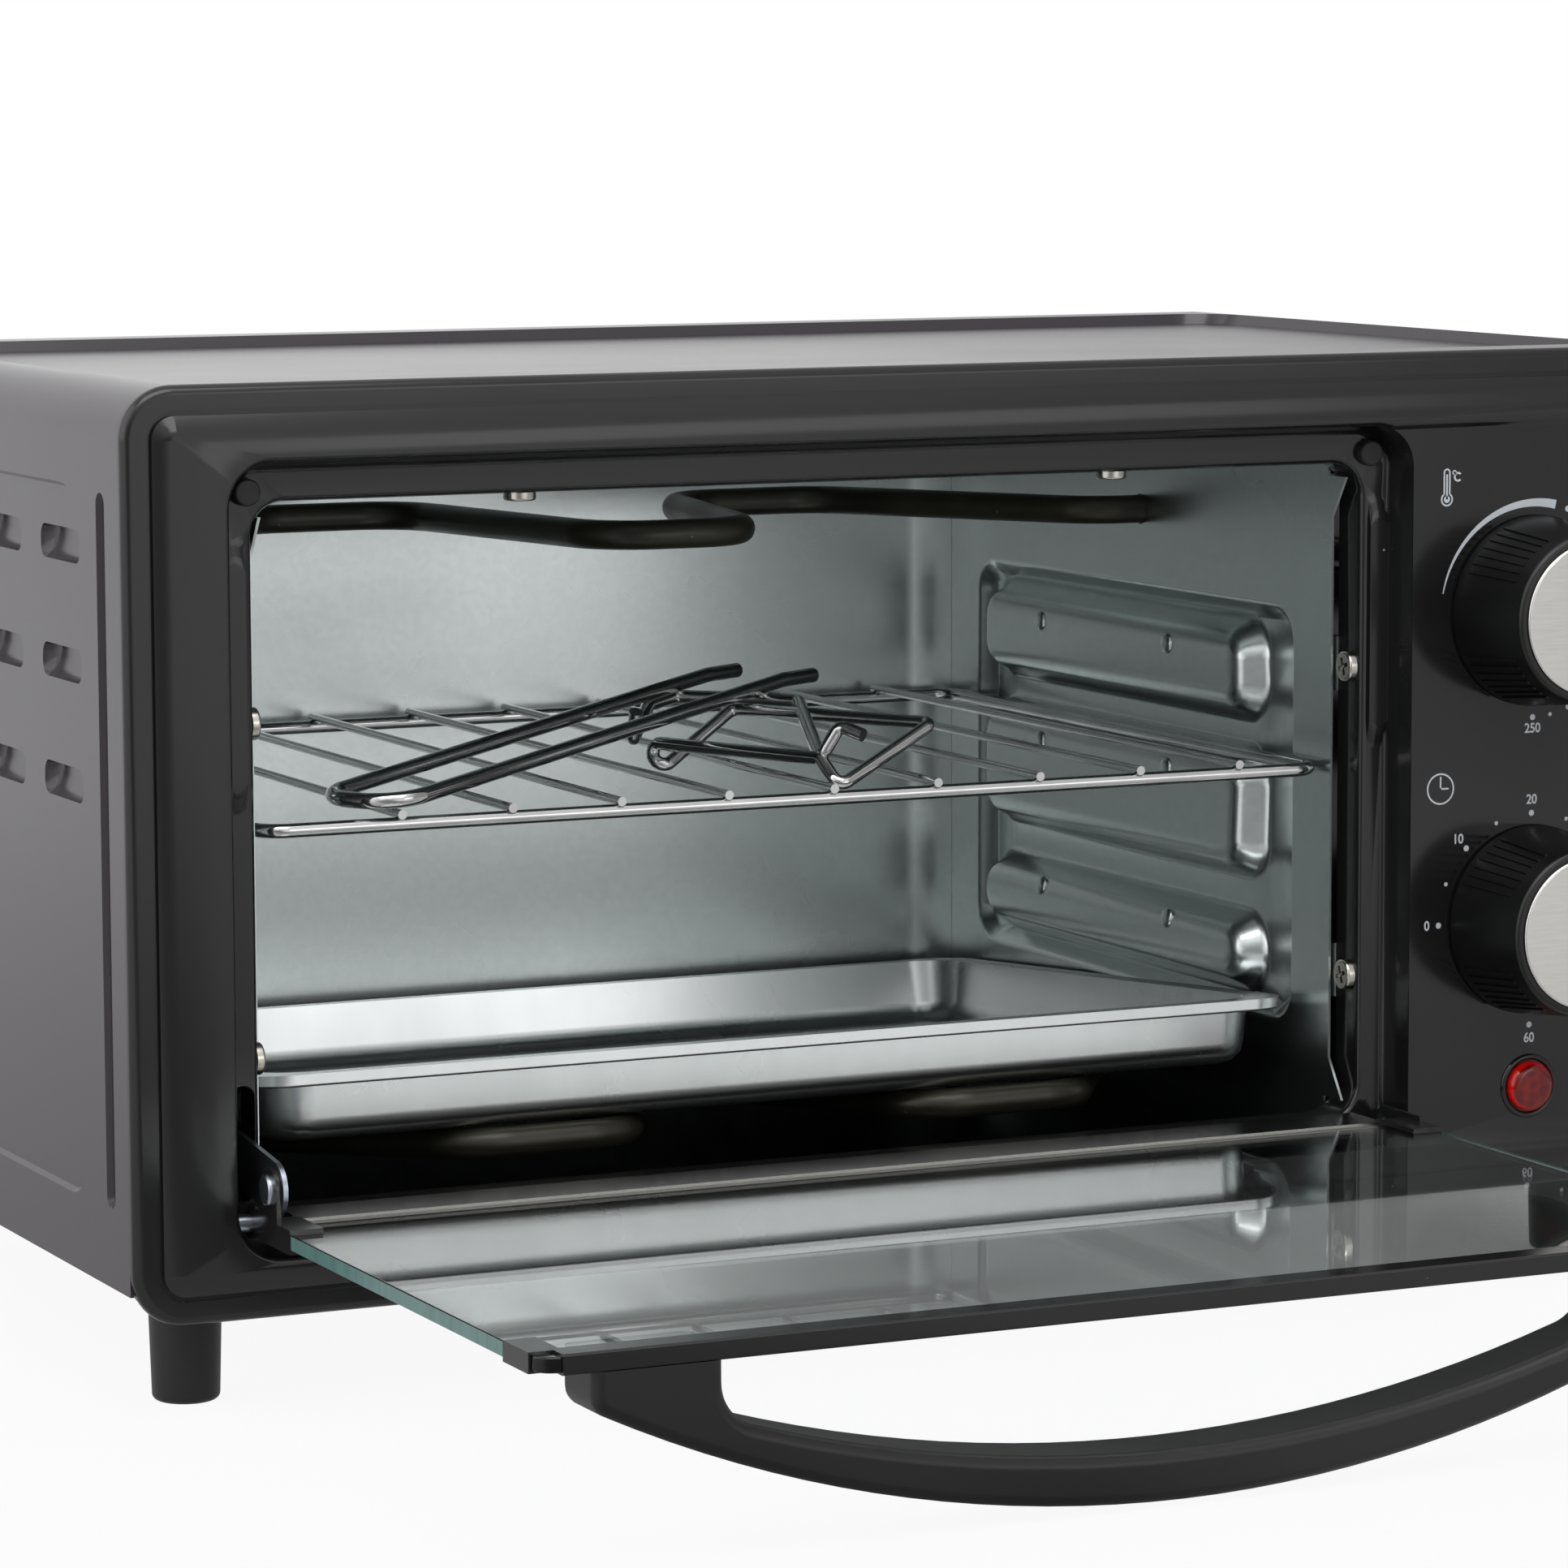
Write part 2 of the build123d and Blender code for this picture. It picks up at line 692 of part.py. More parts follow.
# Cavity back wall with a long vertical bend near each side
step_x0 = ceiling_x0 + back_step_margin
step_x1 = ceiling_x1 - back_step_margin
back_line = Polyline((ceiling_x0, back_wall_y), (step_x0, back_wall_y),
                     (step_x0 + back_step, back_wall_y + back_step),
                     (step_x1 - back_step, back_wall_y + back_step),
                     (step_x1, back_wall_y), (ceiling_x1, back_wall_y))
back_profile = make_face(back_line + Polyline(back_line @ 1, (ceiling_x1, back_wall_y - back_step),
                                              (ceiling_x0, back_wall_y - back_step), back_line @ 0))
back_thick = Pos(0, cavity_sheet, 0) * back_profile - back_profile
back_thick &= Pos(door_x, back_wall_y + width / 2, 0) * Rectangle(ceiling_x1 - ceiling_x0, width)
cavity_back_wall = extrude(Pos(0, 0, base_top) * back_thick, ceiling_top - base_top)


# Heating elements
def element_points(end_y, far_y, near_y, height):
    """Zigzag of a heating rod from the right bush to the left bush; height gives Z at a depth."""
    out = wall_x1 - door_x + bush_length
    half = [(out, end_y), (out - bush_length - element_step, end_y), (loop_pitch + loop_half, far_y),
            (loop_pitch - loop_half + loop_lean / 2, far_y), (loop_half - loop_lean / 2, near_y)]
    points = half + [(-x, y) for x, y in reversed(half)]
    return [(door_x + x, y, height(y)) for x, y in points]


def level(y):
    return upper_z


def tilted(y):
    return lower_front_z - (y - lower_front_y) * tan(radians(tray_tilt))


upper_points = element_points(upper_end_y, upper_back_y, upper_front_y, level)
lower_points = element_points(lower_end_y, lower_front_y, lower_back_y, tilted)
upper_element = wire(upper_points, element_bend, element_diameter)
lower_element = wire(lower_points, element_bend, element_diameter)
element_bushes = []
element_terminals = []
for y, z in ((upper_end_y, upper_z), (lower_end_y, lower_end_z)):
    start = wall_x1 + cavity_sheet
    end = wall_x1 + bush_length
    bush = bar((start, y, z), (end - cavity_sheet, y, z), bush_radius)
    bush -= bar((wall_x1, y, z), (end, y, z), element_diameter / 2 + shaft_fit)
    element_bushes += both_sides(bush)
    blade_y = (y - terminal_sheet / 2, y + terminal_sheet / 2)
    blade_z = (z - terminal_width / 2, z + terminal_width / 2)
    element_terminals += both_sides(span(end, end + terminal_length, *blade_y, *blade_z))


# Screws of the opening's flange, heads facing into the cavity
def flange_screw(reach):
    """Screw standing on z = 0: a rounded head with a cross recess above, a shank of a given length below."""
    screw = extrude(Circle(screw_head), screw_head_height)
    screw = fillet(screw.edges().group_by(Axis.Z)[-1], screw_head_height / 3)
    screw += extrude(Circle(screw_radius), -reach)
    cross = Rectangle(cross_length, cross_width) + Rectangle(cross_width, cross_length)
    cross = Pos(0, 0, screw_head_height - cross_depth) * Rot(0, 0, cross_turn) * cross
    return screw - extrude(cross, screw_head)


flange_reach = sheet + cavity_sheet + screw_reach
frame_screws = []
for z in frame_screw_z:
    place = Plane(origin=(opening_x1, frame_screw_y, z), x_dir=(0, 1, 0), z_dir=(-1, 0, 0))
    frame_screws += both_sides(place * flange_screw(flange_reach))
ceiling_place = Plane(origin=(ceiling_screw_x, frame_screw_y, opening_z1), z_dir=(0, 0, -1))
ceiling_screws = both_sides(ceiling_place * flange_screw(flange_reach))

# Door bumpers
bumper_face = hinge_y + glass_offset + trim_sheet + clearance
bumper = bar((bumper_x, bumper_face, bumper_z), (bumper_x, seat_y, bumper_z), bumper_radius)
bumper = fillet(bumper.edges().group_by(Axis.Y)[0], bumper_round)
bumper += bar((bumper_x, bumper_face + bumper_round, bumper_z), (bumper_x, seat_y + 3 * sheet, bumper_z),
              screw_radius)
door_bumpers = both_sides(bumper)

# Hinge brackets behind the seat
bracket_x = recess_x0 - bracket_set
bracket_front = field_y + sheet + sheet_fit
seat_back = seat_y + sheet
bracket = span(bracket_x, bracket_x + bracket_sheet, bracket_front, seat_back + bracket_sheet,
               hinge_z - bracket_low, hinge_z + bracket_high)
bracket += span(bracket_x, slot_x0 - clearance, seat_back, seat_back + bracket_sheet,
                hinge_z - bracket_low / 2, hinge_z + bracket_high)
bracket -= bar((bracket_x - 1, hinge_y, hinge_z), (recess_x0, hinge_y, hinge_z), pin_radius + pin_fit)
hinge_brackets = both_sides(bracket)

# Door glass
glass_rect = (glass_x0, glass_x1, door_front + trim_sheet, hinge_y - glass_start, glass_corner)
door_glass = extrude(top_face(glass_rect, glass_bottom), glass_thickness)
door_glass = fillet(door_glass.edges().filter_by(Plane.XY), glass_edge)
screw_x = glass_x0 + handle_inset + handle_block / 2
screw_y = door_front + trim_sheet + screw_head + sheet_fit
door_glass -= both_sides(bar((screw_x, screw_y, glass_bottom - 1), (screw_x, screw_y, glass_top + 1),
                             screw_head + clearance))

# Hinge-side channel strip, folded round the back edge of the door
strip_x0 = glass_x0 + strip_inset
strip_x1 = glass_x1 - strip_inset
strip_y0 = hinge_y - strip_front
strip_y1 = hinge_y + strip_back
hinge_channel = span(strip_x0, strip_x1, strip_y0, strip_y1,
                     glass_bottom - strip_sheet, glass_top + strip_sheet)
hinge_channel = fillet(hinge_channel.edges().filter_by(Axis.X).group_by(Axis.Y)[-1], 2 * strip_sheet)
hinge_channel -= span(strip_x0 - 1, strip_x1 + 1, strip_y0 - 1, strip_y1 - strip_sheet,
                      glass_bottom, glass_top)

# Front trim channel and corner clips
trim_x0 = glass_x0 + trim_inset
trim_x1 = glass_x1 - trim_inset
trim_y1 = door_front + trim_width
trim_low = glass_bottom - trim_sheet
trim_high = glass_top + trim_sheet
front_channel = span(trim_x0, trim_x1, door_front, trim_y1, trim_low, trim_high)
front_channel = fillet(front_channel.edges().filter_by(Axis.X).group_by(Axis.Y)[0], trim_sheet * 0.9)
front_channel -= span(trim_x0 - 1, trim_x1 + 1, door_front + trim_sheet, trim_y1 + 1, glass_bottom, glass_top)
front_channel -= both_sides(bar((screw_x, screw_y, trim_low - 1), (screw_x, screw_y, glass_bottom + 1),
                                screw_radius))
clip_y = trim_y1 - clip_overlap
clip_x1 = glass_x0 + clip_reach
clip = span(glass_x0 - trim_sheet, clip_x1, clip_y, clip_y + clip_length, trim_low, trim_high)
clip -= span(trim_x0 - sheet_fit, clip_x1 + 1, clip_y - 1, trim_y1 + sheet_fit, trim_low - 1, trim_high + 1)
clip -= span(glass_x0, clip_x1 + 1, clip_y - 1, clip_y + clip_length + 1, glass_bottom, glass_top)
corner_clips = both_sides(clip)

# Hinge arms: a clip on the glass edge and a plate with a lobe round the pin; the left one also holds the link
arm_x = glass_x0 - sheet_fit
arm_y = hinge_y - rivet_y - rivet_lobe
arm_bottom = glass_bottom - arm_sheet
rivet_at = (hinge_y - rivet_y, hinge_z + rivet_rise)
low_height = hinge_z + arm_low - arm_bottom
low_plate = Pos((arm_y + hinge_y) / 2, arm_bottom + low_height / 2) * Rectangle(hinge_y - arm_y, low_height)
low_plate += Pos(hinge_y, hinge_z) * Circle(arm_lobe)
stem_height = rivet_at[1] - arm_bottom
stem = Pos(rivet_at[0], arm_bottom + stem_height / 2) * Rectangle(2 * rivet_lobe, stem_height)
stem += Pos(*rivet_at) * Circle(rivet_lobe)
clip_back = hinge_y - arm_clip_back
clip_front = hinge_y - arm_clip_front
arm_clip_x1 = glass_x0 + arm_clip_reach
arm_clip = span(arm_x, arm_clip_x1, clip_front, clip_back, arm_bottom, glass_top + arm_sheet)
arm_clip -= span(glass_x0, arm_clip_x1 + 1, clip_front - 1, clip_back + 1, glass_bottom, glass_top)
pin_bore = bar((arm_x - arm_sheet, hinge_y, hinge_z), (arm_x + 2 * arm_sheet, hinge_y, hinge_z), pin_radius)
rivet_bore = bar((arm_x - arm_sheet, *rivet_at), (arm_x + 2 * arm_sheet, *rivet_at), rivet_radius)
tall_plate = low_plate + stem
inside_corner = tall_plate.vertices().sort_by_distance((rivet_at[0] + rivet_lobe, hinge_z + arm_low, 0))[0]
tall_plate = fillet(inside_corner, arm_round)
hinge_arm_left = extrude(side_plane(arm_x) * tall_plate, arm_sheet) + arm_clip - pin_bore - rivet_bore
low_arm = extrude(side_plane(arm_x) * low_plate, arm_sheet) + arm_clip - pin_bore
hinge_arm_right = mirror(low_arm, about=mirror_plane)
door_glass -= both_sides(span(glass_x0 - 1, arm_x + arm_sheet + sheet_fit, arm_y - sheet_fit, hinge_y,
                              glass_bottom - 1, glass_top + 1))
hinge_pins = both_sides(bar((bracket_x - clearance, hinge_y, hinge_z), (arm_x + arm_sheet, hinge_y, hinge_z),
                            pin_radius))

# Link on the left, held to its arm by a rivet
link_x = arm_x + arm_sheet + sheet_fit
head_x = arm_x - rivet_head_height
tail_x = link_x + link_sheet + sheet_fit
rivet_end = tail_x + rivet_tail
link_rivet = fillet(bar((head_x, *rivet_at), (arm_x, *rivet_at), rivet_head).edges().group_by(Axis.X)[0],
                    rivet_head_height * 0.6)
link_rivet += bar((head_x + rivet_head_height / 2, *rivet_at), (rivet_end, *rivet_at), rivet_radius)
link_rivet += bar((tail_x, *rivet_at), (rivet_end, *rivet_at), rivet_head)
link_half = (link_length - link_width) / 2
link_face = side_plane(link_x) * Pos(*rivet_at) * Rot(0, 0, link_angle) * Pos(link_half, 0)
door_link = extrude(link_face * SlotOverall(link_length, link_width), link_sheet)
door_link -= bar((arm_x, *rivet_at), (rivet_end, *rivet_at), rivet_radius + pin_fit)

# Handle: a bow below the front trim
handle_top = trim_low
handle_x0 = glass_x0 + handle_inset
handle_x1 = 2 * door_x - handle_x0
handle_low = table_z + handle_clear
handle_end_z = handle_top - handle_end
grip_x0 = handle_x0 + handle_block
grip_x1 = handle_x1 - handle_block
grip_end_z = handle_top - grip_end
outer_line = Polyline((handle_x0, handle_end_z), (handle_x0, handle_top), (handle_x1, handle_top),
                      (handle_x1, handle_end_z))
outer_line += ThreePointArc((handle_x0, handle_end_z), (door_x, handle_low), (handle_x1, handle_end_z))
inner_line = Polyline((grip_x0, grip_end_z), (grip_x0, handle_top + 1), (grip_x1, handle_top + 1),
                      (grip_x1, grip_end_z))
inner_line += ThreePointArc((grip_x0, grip_end_z), (door_x, handle_low + handle_thickness),
                            (grip_x1, grip_end_z))
grip_hole = make_face(inner_line)
grip_hole = fillet(grip_hole.vertices().group_by(Axis.Y)[0], grip_corner)
handle_face = fillet(make_face(outer_line).vertices().group_by(Axis.Y)[0], handle_corner) - grip_hole
handle = extrude(front_plane(door_front + handle_width) * handle_face, handle_width)
round_edges = [e for e in handle.edges().filter_by(Plane.XZ) if e.center().Z < handle_top - sheet_fit]
handle = fillet(round_edges, handle_round)
handle_screw_tip = (screw_x, screw_y, handle_top - screw_length)
handle -= both_sides(bar(handle_screw_tip, (screw_x, screw_y, handle_top + 1), screw_radius))
handle_screw = bar(handle_screw_tip, (screw_x, screw_y, glass_bottom + screw_head_height / 2), screw_radius)
handle_screw += bar((screw_x, screw_y, glass_bottom), (screw_x, screw_y, glass_bottom + screw_head_height),
                    screw_head)
handle_screws = both_sides(handle_screw)


# Controls: each knob is a hollow cone with grip ribs, a silver cap and a shaft
knob_base_y = field_y - knob_gap
knob_front_y = knob_base_y - knob_height
knob_inside_y = knob_front_y + 2 * knob_wall
panel_back = field_y + sheet
shaft_back_y = panel_back + shaft_reach
hub_radius = 2 * shaft_radius


def control_bar(z, y0, y1, radius):
    """Round bar on a control's axis between two depths."""
    return bar((control_x, y0, z), (control_x, y1, z), radius)


def control_cone(z, y0, radius0, y1, radius1):
    """Cone on a control's axis between two depths."""
    return through([front_plane(y) * Pos(control_x, z) * Circle(radius)
                    for y, radius in ((y0, radius0), (y1, radius1))])


def grip_ribs(z):
    """Fine ribs along the knob's skirt, in even groups."""
    lean = (knob_radius - knob_front_radius) / knob_height
    y_back = knob_base_y - knob_wall
    reach_back = knob_radius - lean * knob_wall
    reach_front = knob_front_radius + lean * 2 * knob_wall
    outline = Polyline((reach_back - knob_wall / 2, -y_back), (reach_back + rib_rise, -y_back),
                       (reach_front + rib_rise, -knob_inside_y),
                       (reach_front - knob_wall / 2, -knob_inside_y), close=True)
    ribs = []
    for group in range(rib_groups):
        for number in range(ribs_in_group):
            angle = 360 / rib_groups * (group + 0.5) + (number - (ribs_in_group - 1) / 2) * rib_pitch
            out = (cos(radians(angle)), 0, sin(radians(angle)))
            side = Plane(origin=(control_x, 0, z), x_dir=out, z_dir=(out[2], 0, -out[0]))
            ribs.append(extrude(side * make_face(outline), rib_width / 2, both=True))
    return ribs


def make_knob(z):
    """Knob body: tapered skirt, rounded front edge, recess for the cap, hub on the shaft and grip ribs."""
    body = control_cone(z, knob_base_y, knob_radius, knob_front_y, knob_front_radius)
    body = fillet(body.edges().group_by(Axis.Y)[0], knob_round) + grip_ribs(z)
    body -= control_cone(z, knob_base_y + 1, knob_radius - knob_wall,
                         knob_inside_y, knob_front_radius - knob_wall)
    body += control_bar(z, knob_base_y - knob_gap, knob_front_y + knob_wall, hub_radius)
    body -= control_bar(z, knob_front_y - 1, knob_front_y + cap_thickness / 2, cap_radius)
    return body - control_bar(z, knob_base_y + 1, knob_inside_y, shaft_radius)


def make_cap(z):
    """Round cap in the knob's front, with a rounded edge."""
    half = cap_thickness / 2
    cap = control_bar(z, knob_front_y - half, knob_front_y + half, cap_radius - shaft_fit)
    return fillet(cap.edges().group_by(Axis.Y)[0], cap_thickness / 3)


def make_shaft(z):
    """Control shaft from the knob's hub into the control behind the panel."""
    return control_bar(z, knob_inside_y, shaft_back_y, shaft_radius)


def control_box(z, wide, tall, y0, y1):
    """Box centred on a control's axis between two depths."""
    return span(control_x - wide / 2, control_x + wide / 2, y0, y1, z - tall / 2, z + tall / 2)


bush_hole = shaft_radius + shaft_fit
shaft_room = shaft_back_y + 1
thermostat_switch = control_box(thermostat_z, switch_width, switch_plate,
                                panel_back, panel_back + bracket_sheet)
thermostat_switch += control_box(thermostat_z, switch_body, switch_width, panel_back + sheet,
                                 panel_back + switch_depth)
thermostat_switch -= control_bar(thermostat_z, panel_back - 1, shaft_room, bush_hole)
bell_y = panel_back + timer_depth
timer_case = control_box(timer_z, timer_size, timer_size, panel_back, bell_y)
timer_case = fillet(timer_case.edges().filter_by(Axis.Y), timer_corner)
timer_case -= control_bar(timer_z, panel_back - 1, shaft_room, bush_hole)
timer_bell = control_bar(timer_z, bell_y + bell_gap, bell_y + bell_height, bell_radius)
timer_bell = fillet(timer_bell.edges().group_by(Axis.Y)[-1], bell_height / 2)
bell_inside = control_bar(timer_z, bell_y, bell_y + bell_height - bell_sheet, bell_radius - bell_sheet)
timer_bell -= fillet(bell_inside.edges().group_by(Axis.Y)[-1], bell_height / 2 - bell_sheet)
timer_bell += control_bar(timer_z, bell_y, bell_y + bell_height - bell_sheet / 2, shaft_radius)

# Indicator lens and its holder
lens_back = panel_back + lens_length
indicator_lens = control_bar(lamp_z, field_y - lens_rise, lens_back, lens_radius)
indicator_lens = fillet(indicator_lens.edges().group_by(Axis.Y)[0], lens_rise * 0.8)
lamp_socket = control_bar(lamp_z, panel_back, panel_back + socket_length, lens_radius + knob_wall)
lamp_socket -= control_bar(lamp_z, panel_back - 1, lens_back, lens_radius)

# Wire rack
rack_x0 = 2 * door_x - rack_wire_x
rack_path = Pos(door_x, (rack_front_y + rack_back_y) / 2, rack_z) * RectangleRounded(
    rack_wire_x - rack_x0, rack_back_y - rack_front_y, rack_corner)
rack_loop = rack_path.wires()[0]
wire_rack = sweep(Plane(origin=rack_loop @ 0, z_dir=rack_loop % 0) * Circle(rack_wire / 2), path=rack_loop)
cross_z = rack_z + (rack_wire + rack_cross_wire) / 2 - rack_weld
cross_wires = []
for number in range(rack_cross_count):
    x = rack_x0 + rack_cross_start + number * rack_cross_pitch
    front_end = (x, rack_front_y - rack_wire / 2, cross_z)
    back_end = (x, rack_back_y + rack_wire / 2, cross_z)
    cross_wires.append(bar(front_end, back_end, rack_cross_wire / 2))
wire_rack = wire_rack + cross_wires

# Baking tray, drawn level and then tipped onto the lower element
tray_rect = (-tray_half_width, tray_half_width, 0, tray_length, rim_corner)


def tray_form(behind):
    """Outside of the pan below its rim, with a rounded foot, shrunk by the given distance."""
    wall = grown((*tray_rect[:4], tray_corner + tray_flange), -tray_flange - behind)
    foot = tray_foot - behind
    faces = [top_face(wall, tray_height + 1), top_face(wall, tray_height)]
    for angle in (0, 30, 60, 90):
        inset = tray_taper + foot * (1 - cos(radians(angle)))
        faces.append(top_face(grown(wall, -inset), behind + foot * (1 - sin(radians(angle)))))
    return through(faces)


roll_z = tray_height - 2 * rim_roll
pan = tray_form(0) & span(-width, width, -width, width, -1, tray_height)
flange = extrude(top_face(tray_rect, tray_height - tray_sheet), tray_sheet)
lip = extrude(top_face(tray_rect, roll_z), 2 * rim_roll)
lip -= extrude(top_face(grown(tray_rect, -rim_roll), roll_z - 1), tray_height)
lip = fillet(lip.edges().group_by(Axis.Z)[-1] + lip.edges().group_by(Axis.Z)[0], rim_roll * 0.45)
tray_level = pan + flange + lip - tray_form(tray_sheet)
tray_contact = (element_diameter / 2 + clearance) / cos(radians(tray_tilt))
tray_z = tilted(tray_front_y) + tray_contact
baking_tray = Pos(door_x, tray_front_y, tray_z) * Rot(-tray_tilt, 0, 0) * tray_level

# Tray lifter: a hairpin of wire with a bridge and a closed hook loop near its tips, lying on the rack
lifter_z = cross_z + rack_cross_wire / 2 + lifter_wire / 2 + clearance
along = (cos(radians(lifter_turn)), sin(radians(lifter_turn)))
across = (-along[1], along[0])


def lifter_point(forward, aside, up):
    """Point on the lifter: distance along its rods, sideways, and above the bow."""
    x = lifter_x + along[0] * forward + across[0] * aside
    y = lifter_y + along[1] * forward + across[1] * aside
    return x, y, lifter_z + up


def rod_rise(forward):
    """Height of the rods above the bow at a distance along them."""
    return forward * tan(radians(lifter_rise))


half_gauge = lifter_gauge / 2
rod_end = lifter_length * cos(radians(lifter_rise))
tip_end = rod_end + lifter_tip
tip_up = rod_rise(rod_end)
hairpin = wire([lifter_point(tip_end, half_gauge, tip_up), lifter_point(rod_end, half_gauge, tip_up),
                lifter_point(-half_gauge, half_gauge, 0), lifter_point(-half_gauge, -half_gauge, 0),
                lifter_point(rod_end, -half_gauge, tip_up), lifter_point(tip_end, -half_gauge, tip_up)],
               half_gauge * 0.85, lifter_wire)
weld_drop = 0.8 * (lifter_wire + hook_wire) / 2
near_weld = hook_head + hook_wire
far_weld = near_weld + hook_wire
hook_right = hook_foot - hook_skew
loop_near = hook_loop_near
loop_far = -hook_span - hook_wire
bridge_foot = hook_foot + hook_bridge
bridge = wire([lifter_point(hook_foot - hook_wire, loop_near, hook_lift + hook_spur),
               lifter_point(hook_foot, loop_near + hook_wire, hook_lift),
               lifter_point(bridge_foot, half_gauge, rod_rise(bridge_foot) - weld_drop),
               lifter_point(near_weld, half_gauge, rod_rise(near_weld) - weld_drop),
               lifter_point(far_weld, -half_gauge, rod_rise(far_weld) - weld_drop),
               lifter_point(far_weld, -lifter_gauge, rod_rise(far_weld) - weld_drop),
               lifter_point(hook_right, -hook_span, hook_lift),
               lifter_point(hook_right + hook_wire, -hook_span - hook_wire, hook_lift + hook_spur),
               lifter_point(hook_right + hook_wire, loop_far - 2 * hook_wire, hook_lift + hook_spur * 0.75)],
              hook_bend, hook_wire)
near_side = [lifter_point(hook_foot, loop_near, hook_lift),
             lifter_point(hook_foot - hook_lean, loop_near - 2 * hook_wire, hook_dip),
             lifter_point(hook_head, loop_near - 3 * hook_wire, hook_rise)]
far_side = [lifter_point(hook_head - hook_lean, loop_far - 3 * hook_wire, hook_rise),
            lifter_point(hook_right - hook_lean, loop_far - hook_wire, hook_dip),
            lifter_point(hook_right, loop_far + hook_wire, hook_lift)]
bar_middle = (Vector(*near_side[0]) + Vector(*far_side[-1])) / 2
top_middle = (Vector(*near_side[-1]) + Vector(*far_side[0])) / 2
hook_loop = wire([bar_middle, *near_side, top_middle], hook_bend, hook_wire)
hook_loop += wire([top_middle, *far_side, bar_middle], hook_bend, hook_wire)
tray_lifter = hairpin + bridge + hook_loop

nodes = {
    "outer_cover": outer_cover,
    "front_panel": front_panel,
    "back_panel": back_panel,
    "base_plate": base_plate,
    "cavity_left_wall": cavity_left_wall,
    "cavity_right_wall": cavity_right_wall,
    "cavity_back_wall": cavity_back_wall,
    "cavity_ceiling": cavity_ceiling,
    "upper_element": upper_element,
    "lower_element": lower_element,
    "element_bushes": element_bushes,
    "element_terminals": element_terminals,
    **feet,
    "foot_screws": foot_screws,
    "frame_screws": frame_screws,
    "ceiling_screws": ceiling_screws,
    "door_bumpers": door_bumpers,
    "hinge_brackets": hinge_brackets,
    "cord_gland": cord_gland,
    "thermostat_switch": thermostat_switch,
    "timer_case": timer_case,
    "timer_bell": timer_bell,
    "indicator_lens": indicator_lens,
    "lamp_socket": lamp_socket,
    "door_glass": door_glass,
    "hinge_channel": hinge_channel,
    "front_channel": front_channel,
    "corner_clips": corner_clips,
    "hinge_arm_left": hinge_arm_left,
    "hinge_arm_right": hinge_arm_right,
    "hinge_pins": hinge_pins,
    "link_rivet": link_rivet,
    "door_link": door_link,
    "handle": handle,
    "handle_screws": handle_screws,
    "thermostat_knob": make_knob(thermostat_z),
    "thermostat_cap": make_cap(thermostat_z),
    "thermostat_shaft": make_shaft(thermostat_z),
    "timer_knob": make_knob(timer_z),
    "timer_cap": make_cap(timer_z),
    "timer_shaft": make_shaft(timer_z),
    "wire_rack": wire_rack,
    "baking_tray": baking_tray,
    "tray_lifter": tray_lifter,
}

# The finished set stands on its base centre
shapes = {name: Compound(children=list(shape)) if isinstance(shape, list) else shape
          for name, shape in nodes.items()}
boxes = [shape.bounding_box() for shape in shapes.values()]
middle_x = (min(box.min.X for box in boxes) + max(box.max.X for box in boxes)) / 2
middle_y = (min(box.min.Y for box in boxes) + max(box.max.Y for box in boxes)) / 2
lowest_z = min(box.min.Z for box in boxes)
os.makedirs("parts", exist_ok=True)
for name, shape in shapes.items():
    export_step(Pos(-middle_x, -middle_y, -lowest_z) * shape, f"parts/{name}.step")
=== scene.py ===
"""Looks, printed marks and studio stage for a countertop toaster oven, laid out as a Blender add-on."""
import json
import math

import bmesh
import bpy
from mathutils import Matrix, Vector


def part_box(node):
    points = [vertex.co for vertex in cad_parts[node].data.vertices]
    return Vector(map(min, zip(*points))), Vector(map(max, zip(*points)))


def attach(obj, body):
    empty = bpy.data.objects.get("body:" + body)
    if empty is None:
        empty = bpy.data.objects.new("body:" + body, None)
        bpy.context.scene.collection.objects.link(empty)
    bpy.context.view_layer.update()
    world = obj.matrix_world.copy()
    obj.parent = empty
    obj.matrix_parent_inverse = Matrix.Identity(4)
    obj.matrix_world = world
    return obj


bl_info = {
    "name": "Toaster oven looks",
    "version": (1, 0, 0),
    "blender": (4, 5, 0),
    "location": "View3D > Sidebar > Oven",
    "description": "Finishes, dial prints, fastener details and a studio stage for a toaster oven",
    "category": "Object",
}

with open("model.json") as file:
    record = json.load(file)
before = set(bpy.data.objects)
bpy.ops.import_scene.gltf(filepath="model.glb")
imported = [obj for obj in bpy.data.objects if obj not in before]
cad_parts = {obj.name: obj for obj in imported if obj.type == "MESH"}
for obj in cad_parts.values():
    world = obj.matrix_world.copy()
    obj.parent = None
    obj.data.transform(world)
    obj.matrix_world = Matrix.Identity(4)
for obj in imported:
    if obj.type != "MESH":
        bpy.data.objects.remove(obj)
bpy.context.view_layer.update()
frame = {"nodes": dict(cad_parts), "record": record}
MM = 0.001


